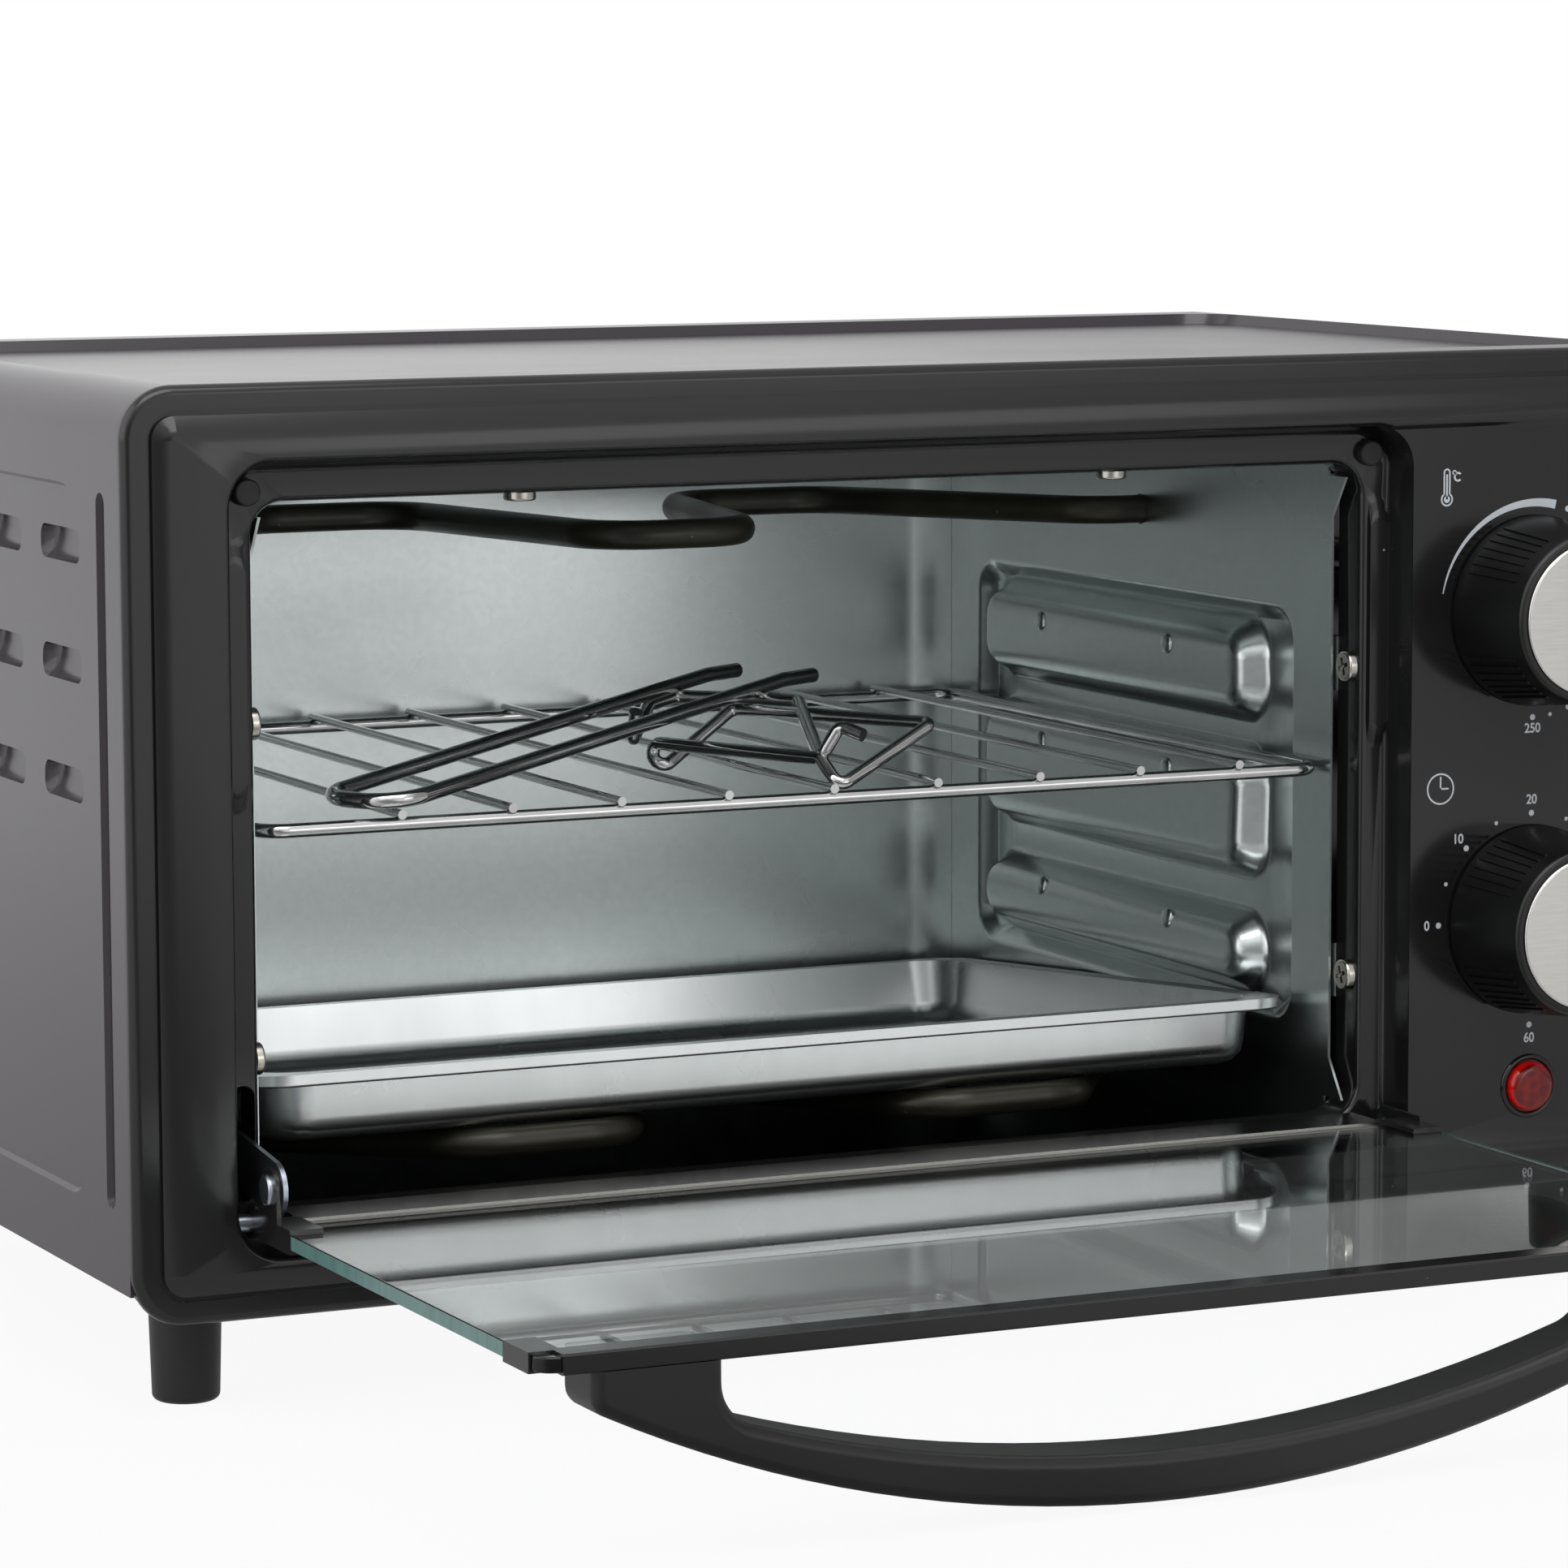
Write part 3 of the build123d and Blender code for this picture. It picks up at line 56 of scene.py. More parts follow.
class OvenFinish(bpy.types.PropertyGroup):
    """Colours of the oven's finishes"""
    cover: bpy.props.FloatVectorProperty(
        name="Cover", description="Powder coat of the outer cover", subtype="COLOR", size=3, min=0, max=1,
        default=(0.034, 0.027, 0.036))
    panel: bpy.props.FloatVectorProperty(
        name="Front panel", description="Satin paint of the front panel", subtype="COLOR", size=3,
        min=0, max=1, default=(0.008, 0.008, 0.008))
    sheet: bpy.props.FloatVectorProperty(
        name="Galvanised sheet", description="Zinc-coated sheet of the cavity", subtype="COLOR", size=3,
        min=0, max=1, default=(0.69, 0.735, 0.735))
    tray: bpy.props.FloatVectorProperty(
        name="Tray", description="Pressed metal of the baking tray", subtype="COLOR", size=3, min=0, max=1,
        default=(0.70, 0.725, 0.725))
    plastic: bpy.props.FloatVectorProperty(
        name="Black plastic", description="Moulded plastic of the feet", subtype="COLOR", size=3,
        min=0, max=1, default=(0.010, 0.010, 0.010))
    handle: bpy.props.FloatVectorProperty(
        name="Handle", description="Plastic of the handle, timer case and cord gland", subtype="COLOR",
        size=3, min=0, max=1, default=(0.012, 0.0115, 0.0115))
    knob: bpy.props.FloatVectorProperty(
        name="Knobs", description="Deep black plastic of the knobs", subtype="COLOR", size=3, min=0, max=1,
        default=(0.004, 0.004, 0.004))
    glass: bpy.props.FloatVectorProperty(
        name="Glass edge", description="Green of the door glass along its edges", subtype="COLOR", size=3,
        min=0, max=1, default=(0.15, 0.29, 0.27))
    lens: bpy.props.FloatVectorProperty(
        name="Indicator", description="Red of the indicator lens", subtype="COLOR", size=3, min=0, max=1,
        default=(0.14, 0.004, 0.004))
    ink: bpy.props.FloatVectorProperty(
        name="Printing", description="Pale ink of the dial marks", subtype="COLOR", size=3, min=0, max=1,
        default=(0.62, 0.66, 0.70))


class OvenDial(bpy.types.PropertyGroup):
    """Sizes of the printed dials"""
    ring: bpy.props.FloatProperty(
        name="Dot ring", description="Radius of the ring of dots round each knob", unit="LENGTH",
        default=23.8 * MM)
    figure_ring: bpy.props.FloatProperty(
        name="Figure ring", description="Radius of the ring of figures", unit="LENGTH", default=26.8 * MM)
    dot: bpy.props.FloatProperty(
        name="Dot", description="Radius of a numbered dot", unit="LENGTH", default=0.68 * MM)
    small_dot: bpy.props.FloatProperty(
        name="Small dot", description="Radius of a dot between numbers", unit="LENGTH", default=0.46 * MM)
    figure: bpy.props.FloatProperty(
        name="Figures", description="Size of the figures", unit="LENGTH", default=3.0 * MM)
    line: bpy.props.FloatProperty(
        name="Line", description="Line width of the symbols", unit="LENGTH", default=0.38 * MM)
    arc: bpy.props.FloatProperty(
        name="Arc", description="Width of the heat arc at its blunt end", unit="LENGTH", default=2.0 * MM)
    symbol: bpy.props.FloatProperty(
        name="Symbol", description="Radius of the clock symbol", unit="LENGTH", default=3.5 * MM)


class OvenPips(bpy.types.PropertyGroup):
    """Small stops pressed into the rack ledges"""
    heights: bpy.props.FloatVectorProperty(
        name="Heights", description="Height of the stops on each ledge", unit="LENGTH", size=3,
        default=(75.5 * MM, 110.7 * MM, 139.6 * MM))
    depths: bpy.props.FloatVectorProperty(
        name="Depths", description="Places of the stops along a ledge, from front to back", unit="LENGTH",
        size=2, default=(51.5 * MM, 114.5 * MM))
    radius: bpy.props.FloatProperty(
        name="Radius", description="Radius of a stop", unit="LENGTH", default=2.4 * MM)
    rise: bpy.props.FloatProperty(
        name="Rise", description="How far a stop stands out of its ledge", unit="LENGTH", default=0.9 * MM)


class OvenScrews(bpy.types.PropertyGroup):
    """Screw heads of the back panel and cross recesses"""
    radius: bpy.props.FloatProperty(
        name="Head radius", description="Radius of a back panel screw head", unit="LENGTH", default=3.4 * MM)
    rise: bpy.props.FloatProperty(
        name="Head rise", description="Height of a head above the panel", unit="LENGTH", default=1.6 * MM)
    inset: bpy.props.FloatProperty(
        name="Inset", description="Distance of the screws from the panel's edges", unit="LENGTH",
        default=9.0 * MM)
    recess: bpy.props.FloatProperty(
        name="Recess", description="Length of a cross recess", unit="LENGTH", default=3.2 * MM)
    slot: bpy.props.FloatProperty(
        name="Slot", description="Width of a cross recess", unit="LENGTH", default=0.7 * MM)
    flange_depth: bpy.props.FloatProperty(
        name="Flange screws", description="Depth of the opening's side screws", unit="LENGTH",
        default=-20.5 * MM)
    flange_heights: bpy.props.FloatVectorProperty(
        name="Flange heights", description="Heights of the opening's side screws", unit="LENGTH", size=2,
        default=(71.7 * MM, 140.4 * MM))


class OvenStage(bpy.types.PropertyGroup):
    """Camera and lights"""
    lens: bpy.props.FloatProperty(
        name="Lens", description="Focal length on a 36 mm sensor", default=137.31, min=10)
    place: bpy.props.FloatVectorProperty(
        name="Camera place", description="Where the camera stands", subtype="TRANSLATION", size=3,
        default=(-0.5685, -1.1567, 0.2722))
    turn: bpy.props.FloatProperty(
        name="Turn", description="Camera turn to the right of straight ahead", subtype="ANGLE",
        default=math.radians(25.15))
    tilt: bpy.props.FloatProperty(
        name="Tilt", description="Camera tilt below level", subtype="ANGLE", default=math.radians(6.84))
    roll: bpy.props.FloatProperty(
        name="Roll", description="Camera roll", subtype="ANGLE", default=math.radians(0.19))
    key: bpy.props.FloatProperty(
        name="Key light", description="Power of the main soft box", unit="POWER", default=8.5)
    fill: bpy.props.FloatProperty(
        name="Fill light", description="Power of the side soft box", unit="POWER", default=6.0)
    front: bpy.props.FloatProperty(
        name="Front light", description="Power of the soft box at the front right", unit="POWER", default=1.0)
    room: bpy.props.FloatProperty(
        name="Room light", description="Strength of the even light", default=0.6)
    floor: bpy.props.FloatProperty(
        name="Floor", description="Radius of the round floor", unit="LENGTH", default=1.05)


# Node helpers
def add(tree, kind, place=(0, 0), **settings):
    """New node at a place in its tree, with its properties set."""
    node = tree.nodes.new(kind)
    node.location = place
    for key, value in settings.items():
        setattr(node, key, value)
    return node


def fill(node, **values):
    """Set input sockets by name, with spaces written as underscores."""
    for key, value in values.items():
        node.inputs[key.replace("_", " ")].default_value = value
    return node


def wire(tree, *pairs):
    """Link outputs to inputs, given as pairs of sockets."""
    for source, target in pairs:
        tree.links.new(source, target)


def map_range(tree, place, edges, ends):
    """Node that maps a value between two edges onto two ends."""
    return fill(add(tree, "ShaderNodeMapRange", place), From_Min=edges[0], From_Max=edges[1],
                To_Min=ends[0], To_Max=ends[1])


def effect_group(name, inputs, outputs):
    """Empty shader node group with float or vector inputs and float outputs."""
    group = bpy.data.node_groups.new(name, "ShaderNodeTree")
    for label, kind, value in inputs:
        socket = group.interface.new_socket(label, in_out="INPUT", socket_type=kind)
        if value is not None:
            socket.default_value = value
    for label, kind in outputs:
        group.interface.new_socket(label, in_out="OUTPUT", socket_type=kind)
    entry = add(group, "NodeGroupInput", (-800, 0))
    leave = add(group, "NodeGroupOutput", (600, 0))
    return group, entry, leave


def grain_group():
    """Fine even grain and slow patches, for paint, plastic and metal."""
    group, entry, leave = effect_group(
        "Grain and patches",
        [("Vector", "NodeSocketVector", None), ("Grain", "NodeSocketFloat", 1800.0),
         ("Patch", "NodeSocketFloat", 9.0)],
        [("Grain", "NodeSocketFloat"), ("Patch", "NodeSocketFloat")])
    fine = fill(add(group, "ShaderNodeTexNoise", (-400, 150)), Detail=2.0, Roughness=0.6)
    slow = fill(add(group, "ShaderNodeTexNoise", (-400, -150)), Detail=4.0, Roughness=0.55)
    wire(group,
         (entry.outputs["Vector"], fine.inputs["Vector"]),
         (entry.outputs["Grain"], fine.inputs["Scale"]),
         (entry.outputs["Vector"], slow.inputs["Vector"]),
         (entry.outputs["Patch"], slow.inputs["Scale"]),
         (fine.outputs["Fac"], leave.inputs["Grain"]),
         (slow.outputs["Fac"], leave.inputs["Patch"]))
    return group


# Share of the cells that stay free of dust
CLEAN_SHARE = 0.86


def speck_group():
    """Sparse pale dust specks."""
    group, entry, leave = effect_group(
        "Dust specks",
        [("Vector", "NodeSocketVector", None), ("Scale", "NodeSocketFloat", 140.0),
         ("Size", "NodeSocketFloat", 0.06)],
        [("Speck", "NodeSocketFloat")])
    cells = add(group, "ShaderNodeTexVoronoi", (-500, 0))
    near = add(group, "ShaderNodeMath", (-250, 100), operation="LESS_THAN")
    pick = add(group, "ShaderNodeSeparateColor", (-250, -150))
    rare = add(group, "ShaderNodeMath", (0, -150), operation="GREATER_THAN")
    rare.inputs[1].default_value = CLEAN_SHARE
    both = add(group, "ShaderNodeMath", (200, 0), operation="MULTIPLY")
    wire(group,
         (entry.outputs["Vector"], cells.inputs["Vector"]),
         (entry.outputs["Scale"], cells.inputs["Scale"]),
         (cells.outputs["Distance"], near.inputs[0]),
         (entry.outputs["Size"], near.inputs[1]),
         (cells.outputs["Color"], pick.inputs["Color"]),
         (pick.outputs["Red"], rare.inputs[0]),
         (near.outputs[0], both.inputs[0]),
         (rare.outputs[0], both.inputs[1]),
         (both.outputs[0], leave.inputs["Speck"]))
    return group


def streak_group():
    """Long streaks along one axis, for drawn, rolled or brushed metal."""
    group, entry, leave = effect_group(
        "Drawn streaks",
        [("Vector", "NodeSocketVector", None), ("Stretch", "NodeSocketVector", (1.0, 1.0, 1.0)),
         ("Scale", "NodeSocketFloat", 400.0)],
        [("Streak", "NodeSocketFloat")])
    stretch = add(group, "ShaderNodeVectorMath", (-500, 0), operation="MULTIPLY")
    noise = fill(add(group, "ShaderNodeTexNoise", (-250, 0)), Detail=3.0, Roughness=0.65)
    wire(group,
         (entry.outputs["Vector"], stretch.inputs[0]),
         (entry.outputs["Stretch"], stretch.inputs[1]),
         (stretch.outputs[0], noise.inputs["Vector"]),
         (entry.outputs["Scale"], noise.inputs["Scale"]),
         (noise.outputs["Fac"], leave.inputs["Streak"]))
    return group


def spangle_group():
    """Faint crystal patches of a zinc coat."""
    group, entry, leave = effect_group(
        "Zinc spangle",
        [("Vector", "NodeSocketVector", None), ("Scale", "NodeSocketFloat", 900.0)],
        [("Spangle", "NodeSocketFloat")])
    cells = add(group, "ShaderNodeTexVoronoi", (-400, 0))
    pick = add(group, "ShaderNodeSeparateColor", (-150, 0))
    wire(group,
         (entry.outputs["Vector"], cells.inputs["Vector"]),
         (entry.outputs["Scale"], cells.inputs["Scale"]),
         (cells.outputs["Color"], pick.inputs["Color"]),
         (pick.outputs["Red"], leave.inputs["Spangle"]))
    return group


class Finish:
    """One material: a Principled shader with Object coordinates and a few named steps."""

    def __init__(self, name, colour, roughness, metallic=0.0, **sockets):
        self.material = bpy.data.materials.new(name)
        self.material.use_nodes = True
        self.tree = self.material.node_tree
        self.shader = self.tree.nodes["Principled BSDF"]
        fill(self.shader, Base_Color=(*colour, 1.0), Roughness=roughness, Metallic=metallic, **sockets)
        self.place = add(self.tree, "ShaderNodeTexCoord", (-1400, 0)).outputs["Object"]
        self.colour = colour

    def effect(self, group, **values):
        """Place a shared effect and return its outputs."""
        node = add(self.tree, "ShaderNodeGroup", (-1100, 0), node_tree=bpy.data.node_groups[group])
        self.tree.links.new(self.place, node.inputs["Vector"])
        fill(node, **values)
        return node.outputs

    def ramp(self, value, low, high, from_low=0.3, from_high=0.7):
        """Map an effect's value onto a range."""
        node = map_range(self.tree, (-700, 0), (from_low, from_high), (low, high))
        self.tree.links.new(value, node.inputs["Value"])
        return node.outputs["Result"]

    def tint(self, value, other, amount=1.0):
        """Shift the base colour towards another colour where the value is high."""
        mix = add(self.tree, "ShaderNodeMix", (-400, 200), data_type="RGBA")
        source = self.shader.inputs["Base Color"]
        if source.is_linked:
            self.tree.links.new(source.links[0].from_socket, mix.inputs["A"])
        else:
            mix.inputs["A"].default_value = (*self.colour, 1.0)
        mix.inputs["B"].default_value = (*other, 1.0)
        self.tree.links.new(self.ramp(value, 0.0, amount), mix.inputs["Factor"])
        self.tree.links.new(mix.outputs["Result"], source)
        return self

    def rough(self, value, low, high):
        """Vary the roughness with an effect's value."""
        self.tree.links.new(self.ramp(value, low, high), self.shader.inputs["Roughness"])
        return self

    def bump(self, value, strength, distance):
        """Raise or sink the surface with an effect's value."""
        node = fill(add(self.tree, "ShaderNodeBump", (-250, -300)), Strength=strength, Distance=distance)
        self.tree.links.new(value, node.inputs["Height"])
        source = self.shader.inputs["Normal"]
        if source.is_linked:
            self.tree.links.new(source.links[0].from_socket, node.inputs["Normal"])
        self.tree.links.new(node.outputs["Normal"], source)
        return self


def powder_coat(name, colour):
    """Dark cover paint with a fine powder grain and slow patches of sheen."""
    finish = Finish(name, colour, 0.20, Specular_IOR_Level=0.5)
    grain = finish.effect("Grain and patches", Grain=2600.0, Patch=7.0)
    lighter = tuple(min(1.0, c * 1.25) for c in colour)
    finish.tint(grain["Patch"], lighter, 0.5).rough(grain["Patch"], 0.17, 0.23)
    finish.bump(grain["Grain"], 0.10, 0.06 * MM)
    return finish.material


def satin_paint(name, colour, roughness):
    """Black satin paint with a light orange peel and a few dust specks."""
    finish = Finish(name, colour, roughness, Specular_IOR_Level=0.5)
    grain = finish.effect("Grain and patches", Grain=900.0, Patch=11.0)
    dust = finish.effect("Dust specks", Scale=110.0, Size=0.035)
    finish.tint(grain["Patch"], tuple(c * 1.5 for c in colour), 0.5)
    finish.tint(dust["Speck"], (0.28, 0.28, 0.28), 0.8)
    finish.rough(grain["Patch"], roughness * 0.8, roughness * 1.2).bump(grain["Grain"], 0.03, 0.03 * MM)
    return finish.material


def zinc_sheet(name, colour):
    """Galvanised sheet: grey metal with a faint spangle and slow dull patches."""
    finish = Finish(name, colour, 0.27, 1.0)
    spangle = finish.effect("Zinc spangle", Scale=700.0)
    patch = finish.effect("Grain and patches", Grain=1500.0, Patch=14.0)
    finish.tint(spangle["Spangle"], tuple(c * 0.86 for c in colour), 0.3)
    finish.tint(patch["Patch"], tuple(c * 0.9 for c in colour), 0.5)
    finish.rough(patch["Patch"], 0.255, 0.285).bump(spangle["Spangle"], 0.03, 0.04 * MM)
    finish.bump(patch["Grain"], 0.02, 0.04 * MM)
    return finish.material


def drawn_metal(name, colour, roughness, stretch, scale, depth):
    """Metal with tool streaks, long where stretch is small; depth is the strength of their relief."""
    finish = Finish(name, colour, roughness, 1.0)
    streak = finish.effect("Drawn streaks", Stretch=stretch, Scale=scale)
    patch = finish.effect("Grain and patches", Grain=2200.0, Patch=18.0)
    finish.tint(streak["Streak"], tuple(c * 0.86 for c in colour), 0.5)
    finish.rough(patch["Patch"], roughness * 0.95, roughness * 1.1)
    finish.bump(streak["Streak"], depth, 0.04 * MM)
    return finish.material


def chrome_wire(name):
    """Bright plated wire with slight dulling."""
    finish = Finish(name, (0.62, 0.62, 0.62), 0.10, 1.0)
    grain = finish.effect("Grain and patches", Grain=900.0, Patch=60.0)
    finish.tint(grain["Patch"], (0.42, 0.42, 0.42), 0.6).rough(grain["Patch"], 0.06, 0.16)
    return finish.material


def heater_sheath(name):
    """Dull olive-black heater tube with pale scuffs."""
    finish = Finish(name, (0.020, 0.019, 0.014), 0.34, 0.35, Specular_IOR_Level=0.5)
    grain = finish.effect("Grain and patches", Grain=1600.0, Patch=40.0)
    dust = finish.effect("Dust specks", Scale=330.0, Size=0.10)
    finish.tint(grain["Patch"], (0.052, 0.049, 0.032), 0.7).tint(dust["Speck"], (0.16, 0.15, 0.11), 0.7)
    finish.rough(grain["Patch"], 0.28, 0.45).bump(grain["Grain"], 0.10, 0.05 * MM)
    return finish.material


def moulded(name, colour, roughness):
    """Moulded plastic with a fine spark texture."""
    finish = Finish(name, colour, roughness, Specular_IOR_Level=0.45)
    grain = finish.effect("Grain and patches", Grain=2400.0, Patch=12.0)
    finish.tint(grain["Patch"], tuple(c * 1.6 for c in colour), 0.5)
    finish.rough(grain["Patch"], roughness * 0.85, roughness * 1.15).bump(grain["Grain"], 0.12, 0.06 * MM)
    return finish.material


def plain_dull(name, colour, roughness, metallic=0.0):
    """Small hardware finish with a slight mottle."""
    finish = Finish(name, colour, roughness, metallic)
    grain = finish.effect("Grain and patches", Grain=1700.0, Patch=70.0)
    finish.tint(grain["Patch"], tuple(c * 0.75 for c in colour), 0.6)
    finish.rough(grain["Patch"], roughness * 0.8, roughness * 1.2)
    return finish.material


def clear_glass(name):
    """Clear door glass."""
    finish = Finish(name, (0.93, 0.97, 0.96), 0.0, Transmission_Weight=1.0, IOR=1.5)
    grain = finish.effect("Grain and patches", Grain=300.0, Patch=5.0)
    finish.rough(grain["Patch"], 0.0, 0.012)
    return finish.material


def green_edge(name, colour):
    """Ground edge of the door glass, where its green shows."""
    finish = Finish(name, colour, 0.22, Transmission_Weight=0.35, IOR=1.5)
    streak = finish.effect("Drawn streaks", Stretch=(1.0, 1.0, 0.1), Scale=300.0)
    finish.tint(streak["Streak"], tuple(min(1.0, c * 1.4) for c in colour), 0.7)
    return finish.material


def red_lens(name, colour):
    """Red moulded lens with a facetted inside; its round sides carry a painted glow, a brighter red than its
    front.
    """
    finish = Finish(name, colour, 0.06, Specular_IOR_Level=0.5)
    facets = add(finish.tree, "ShaderNodeTexVoronoi", (-900, -200))
    fill(facets, Scale=420.0)
    finish.tree.links.new(finish.place, facets.inputs["Vector"])
    finish.tint(facets.outputs["Distance"], (0.30, 0.008, 0.006), 0.7)
    # Painted glow: faces that turn away from the front are tinted a brighter red
    surface = add(finish.tree, "ShaderNodeTexCoord", (-1400, -500))
    facing = add(finish.tree, "ShaderNodeSeparateXYZ", (-1100, -500))
    finish.tree.links.new(surface.outputs["Normal"], facing.inputs["Vector"])
    finish.tint(finish.ramp(facing.outputs["Y"], 0.0, 1.0, -0.95, -0.35), (0.80, 0.006, 0.004))
    finish.bump(facets.outputs["Distance"], 0.15, 0.4 * MM)
    return finish.material


def print_ink(name, colour):
    """Screen-printed ink with slightly uneven cover."""
    finish = Finish(name, colour, 0.5)
    grain = finish.effect("Grain and patches", Grain=2500.0, Patch=200.0)
    finish.tint(grain["Patch"], tuple(c * 0.8 for c in colour), 0.5)
    return finish.material


# Materials by slot, and the node that has a finish of its own
SLOT_FINISH = {}
OWN_FINISH = {"hinge_channel": "channel_steel"}


def make_finishes(colours):
    """Every material, keyed by a material slot of the record or by a name of its own."""
    for build in (grain_group, speck_group, streak_group, spangle_group):
        build()
    SLOT_FINISH.update({
        "cover_paint": powder_coat("Cover powder coat", tuple(colours.cover)),
        "panel_paint": satin_paint("Panel satin paint", tuple(colours.panel), 0.16),
        "black_sheet": powder_coat("Base sheet paint", (0.018, 0.018, 0.018)),
        "galvanised": zinc_sheet("Galvanised sheet", tuple(colours.sheet)),
        "element_sheath": heater_sheath("Heater sheath"),
        "ceramic": plain_dull("Ceramic", (0.70, 0.68, 0.62), 0.6),
        "terminal_brass": plain_dull("Terminal blades", (0.60, 0.46, 0.22), 0.35, 1.0),
        "foot_plastic": moulded("Foot plastic", tuple(colours.plastic), 0.42),
        "screw_steel": plain_dull("Screw plating", (0.60, 0.58, 0.53), 0.22, 1.0),
        "bumper_rubber": plain_dull("Bumper rubber", (0.016, 0.016, 0.016), 0.6),
        "zinc_plate": drawn_metal(
            "Zinc plating", (0.42, 0.46, 0.52), 0.28, (1.0, 0.2, 1.0), 500.0, 0.08),
        "black_plastic": moulded("Handle plastic", tuple(colours.handle), 0.40),
        "indicator_red": red_lens("Indicator red", tuple(colours.lens)),
        "door_glass": clear_glass("Door glass"),
        "glass_edge": green_edge("Glass edge", tuple(colours.glass)),
        "door_trim": satin_paint("Door trim paint", (0.012, 0.012, 0.012), 0.11),
        "channel_steel": drawn_metal(
            "Channel strip steel", (0.26, 0.255, 0.24), 0.20, (0.05, 1.0, 1.0), 500.0, 0.02),
        "knob_plastic": moulded("Knob plastic", tuple(colours.knob), 0.34),
        "cap_silver": drawn_metal(
            "Cap brushed silver", (0.74, 0.725, 0.70), 0.25, (0.08, 1.0, 1.0), 1400.0, 0.03),
        "shaft_steel": plain_dull("Shaft steel", (0.55, 0.55, 0.55), 0.3, 1.0),
        "rack_chrome": chrome_wire("Chromed wire"),
        "tray_metal": drawn_metal(
            "Tray metal", tuple(colours.tray), 0.27, (1.0, 1.0, 0.25), 60.0, 0.0),
        "print_ink": print_ink("Dial ink", tuple(colours.ink)),
        # Painted shade: near-black metal for the cross recesses, where the hollow lies in shade
        "recess_dark": plain_dull("Screw recess", (0.03, 0.028, 0.025), 0.5, 1.0),
    })


# Edges steeper than this stay sharp, in degrees
SMOOTH_ANGLE = 46.0


def round_shading():
    """Geometry nodes that weld a node's loose triangles and shade its curved faces smooth."""
    group = bpy.data.node_groups.new("Round shading", "GeometryNodeTree")
    group.interface.new_socket("Geometry", in_out="INPUT", socket_type="NodeSocketGeometry")
    group.interface.new_socket("Geometry", in_out="OUTPUT", socket_type="NodeSocketGeometry")
    entry = add(group, "NodeGroupInput", (-800, 0))
    leave = add(group, "NodeGroupOutput", (600, 0))
    plain = add(group, "GeometryNodeRemoveAttribute", (-600, 0))
    plain.inputs["Name"].default_value = "custom_normal"
    weld = fill(add(group, "GeometryNodeMergeByDistance", (-400, 0)), Distance=1e-6)
    smooth = add(group, "GeometryNodeSetShadeSmooth", (-100, 0), domain="FACE")
    angle = add(group, "GeometryNodeInputMeshEdgeAngle", (-400, -250))
    steep = add(group, "FunctionNodeCompare", (-150, -250), data_type="FLOAT", operation="GREATER_THAN")
    steep.inputs["B"].default_value = math.radians(SMOOTH_ANGLE)
    crease = add(group, "GeometryNodeSetShadeSmooth", (250, 0), domain="EDGE")
    crease.inputs["Shade Smooth"].default_value = False
    wire(group,
         (entry.outputs["Geometry"], plain.inputs["Geometry"]),
         (plain.outputs["Geometry"], weld.inputs["Geometry"]),
         (weld.outputs["Geometry"], smooth.inputs["Geometry"]),
         (smooth.outputs["Geometry"], crease.inputs["Geometry"]),
         (angle.outputs["Unsigned Angle"], steep.inputs["A"]),
         (steep.outputs["Result"], crease.inputs["Selection"]),
         (crease.outputs["Geometry"], leave.inputs["Geometry"]))
    return group


def dress_nodes(shading):
    """Give each CAD node its slot's finish and round shading."""
    for part in frame["record"]["subparts"]:
        node = frame["nodes"][part["node"]]
        node.data.materials.clear()
        node.data.materials.append(SLOT_FINISH[OWN_FINISH.get(part["node"], part["material_slot"])])
        node.modifiers.new("Round shading", "NODES").node_group = shading
        flat = node.modifiers.new("Flat faces", "WEIGHTED_NORMAL")
        flat.keep_sharp = True


class OVEN_OT_dress(bpy.types.Operator):
    """Make the finishes and put them on the CAD nodes"""
    bl_idname = "oven.dress"
    bl_label = "Dress the oven"

    def execute(self, context):
        make_finishes(context.scene.oven_finish)
        dress_nodes(round_shading())
        return {"FINISHED"}


def put(name, mesh, slot, body):
    """Finished piece: a mesh with a slot's material that rides a body."""
    piece = bpy.data.objects.new(name, mesh)
    bpy.context.scene.collection.objects.link(piece)
    piece.data.materials.clear()
    piece.data.materials.append(SLOT_FINISH[slot])
    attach(piece, body)
    return piece


def mesh_from(name, shape):
    """Mesh of a bmesh, which is freed."""
    mesh = bpy.data.meshes.new(name)
    shape.to_mesh(mesh)
    shape.free()
    return mesh


# Extra weight and width of the printed figures, as shares of their size
FIGURE_WEIGHT = 0.022
FIGURE_WIDTH = 0.92


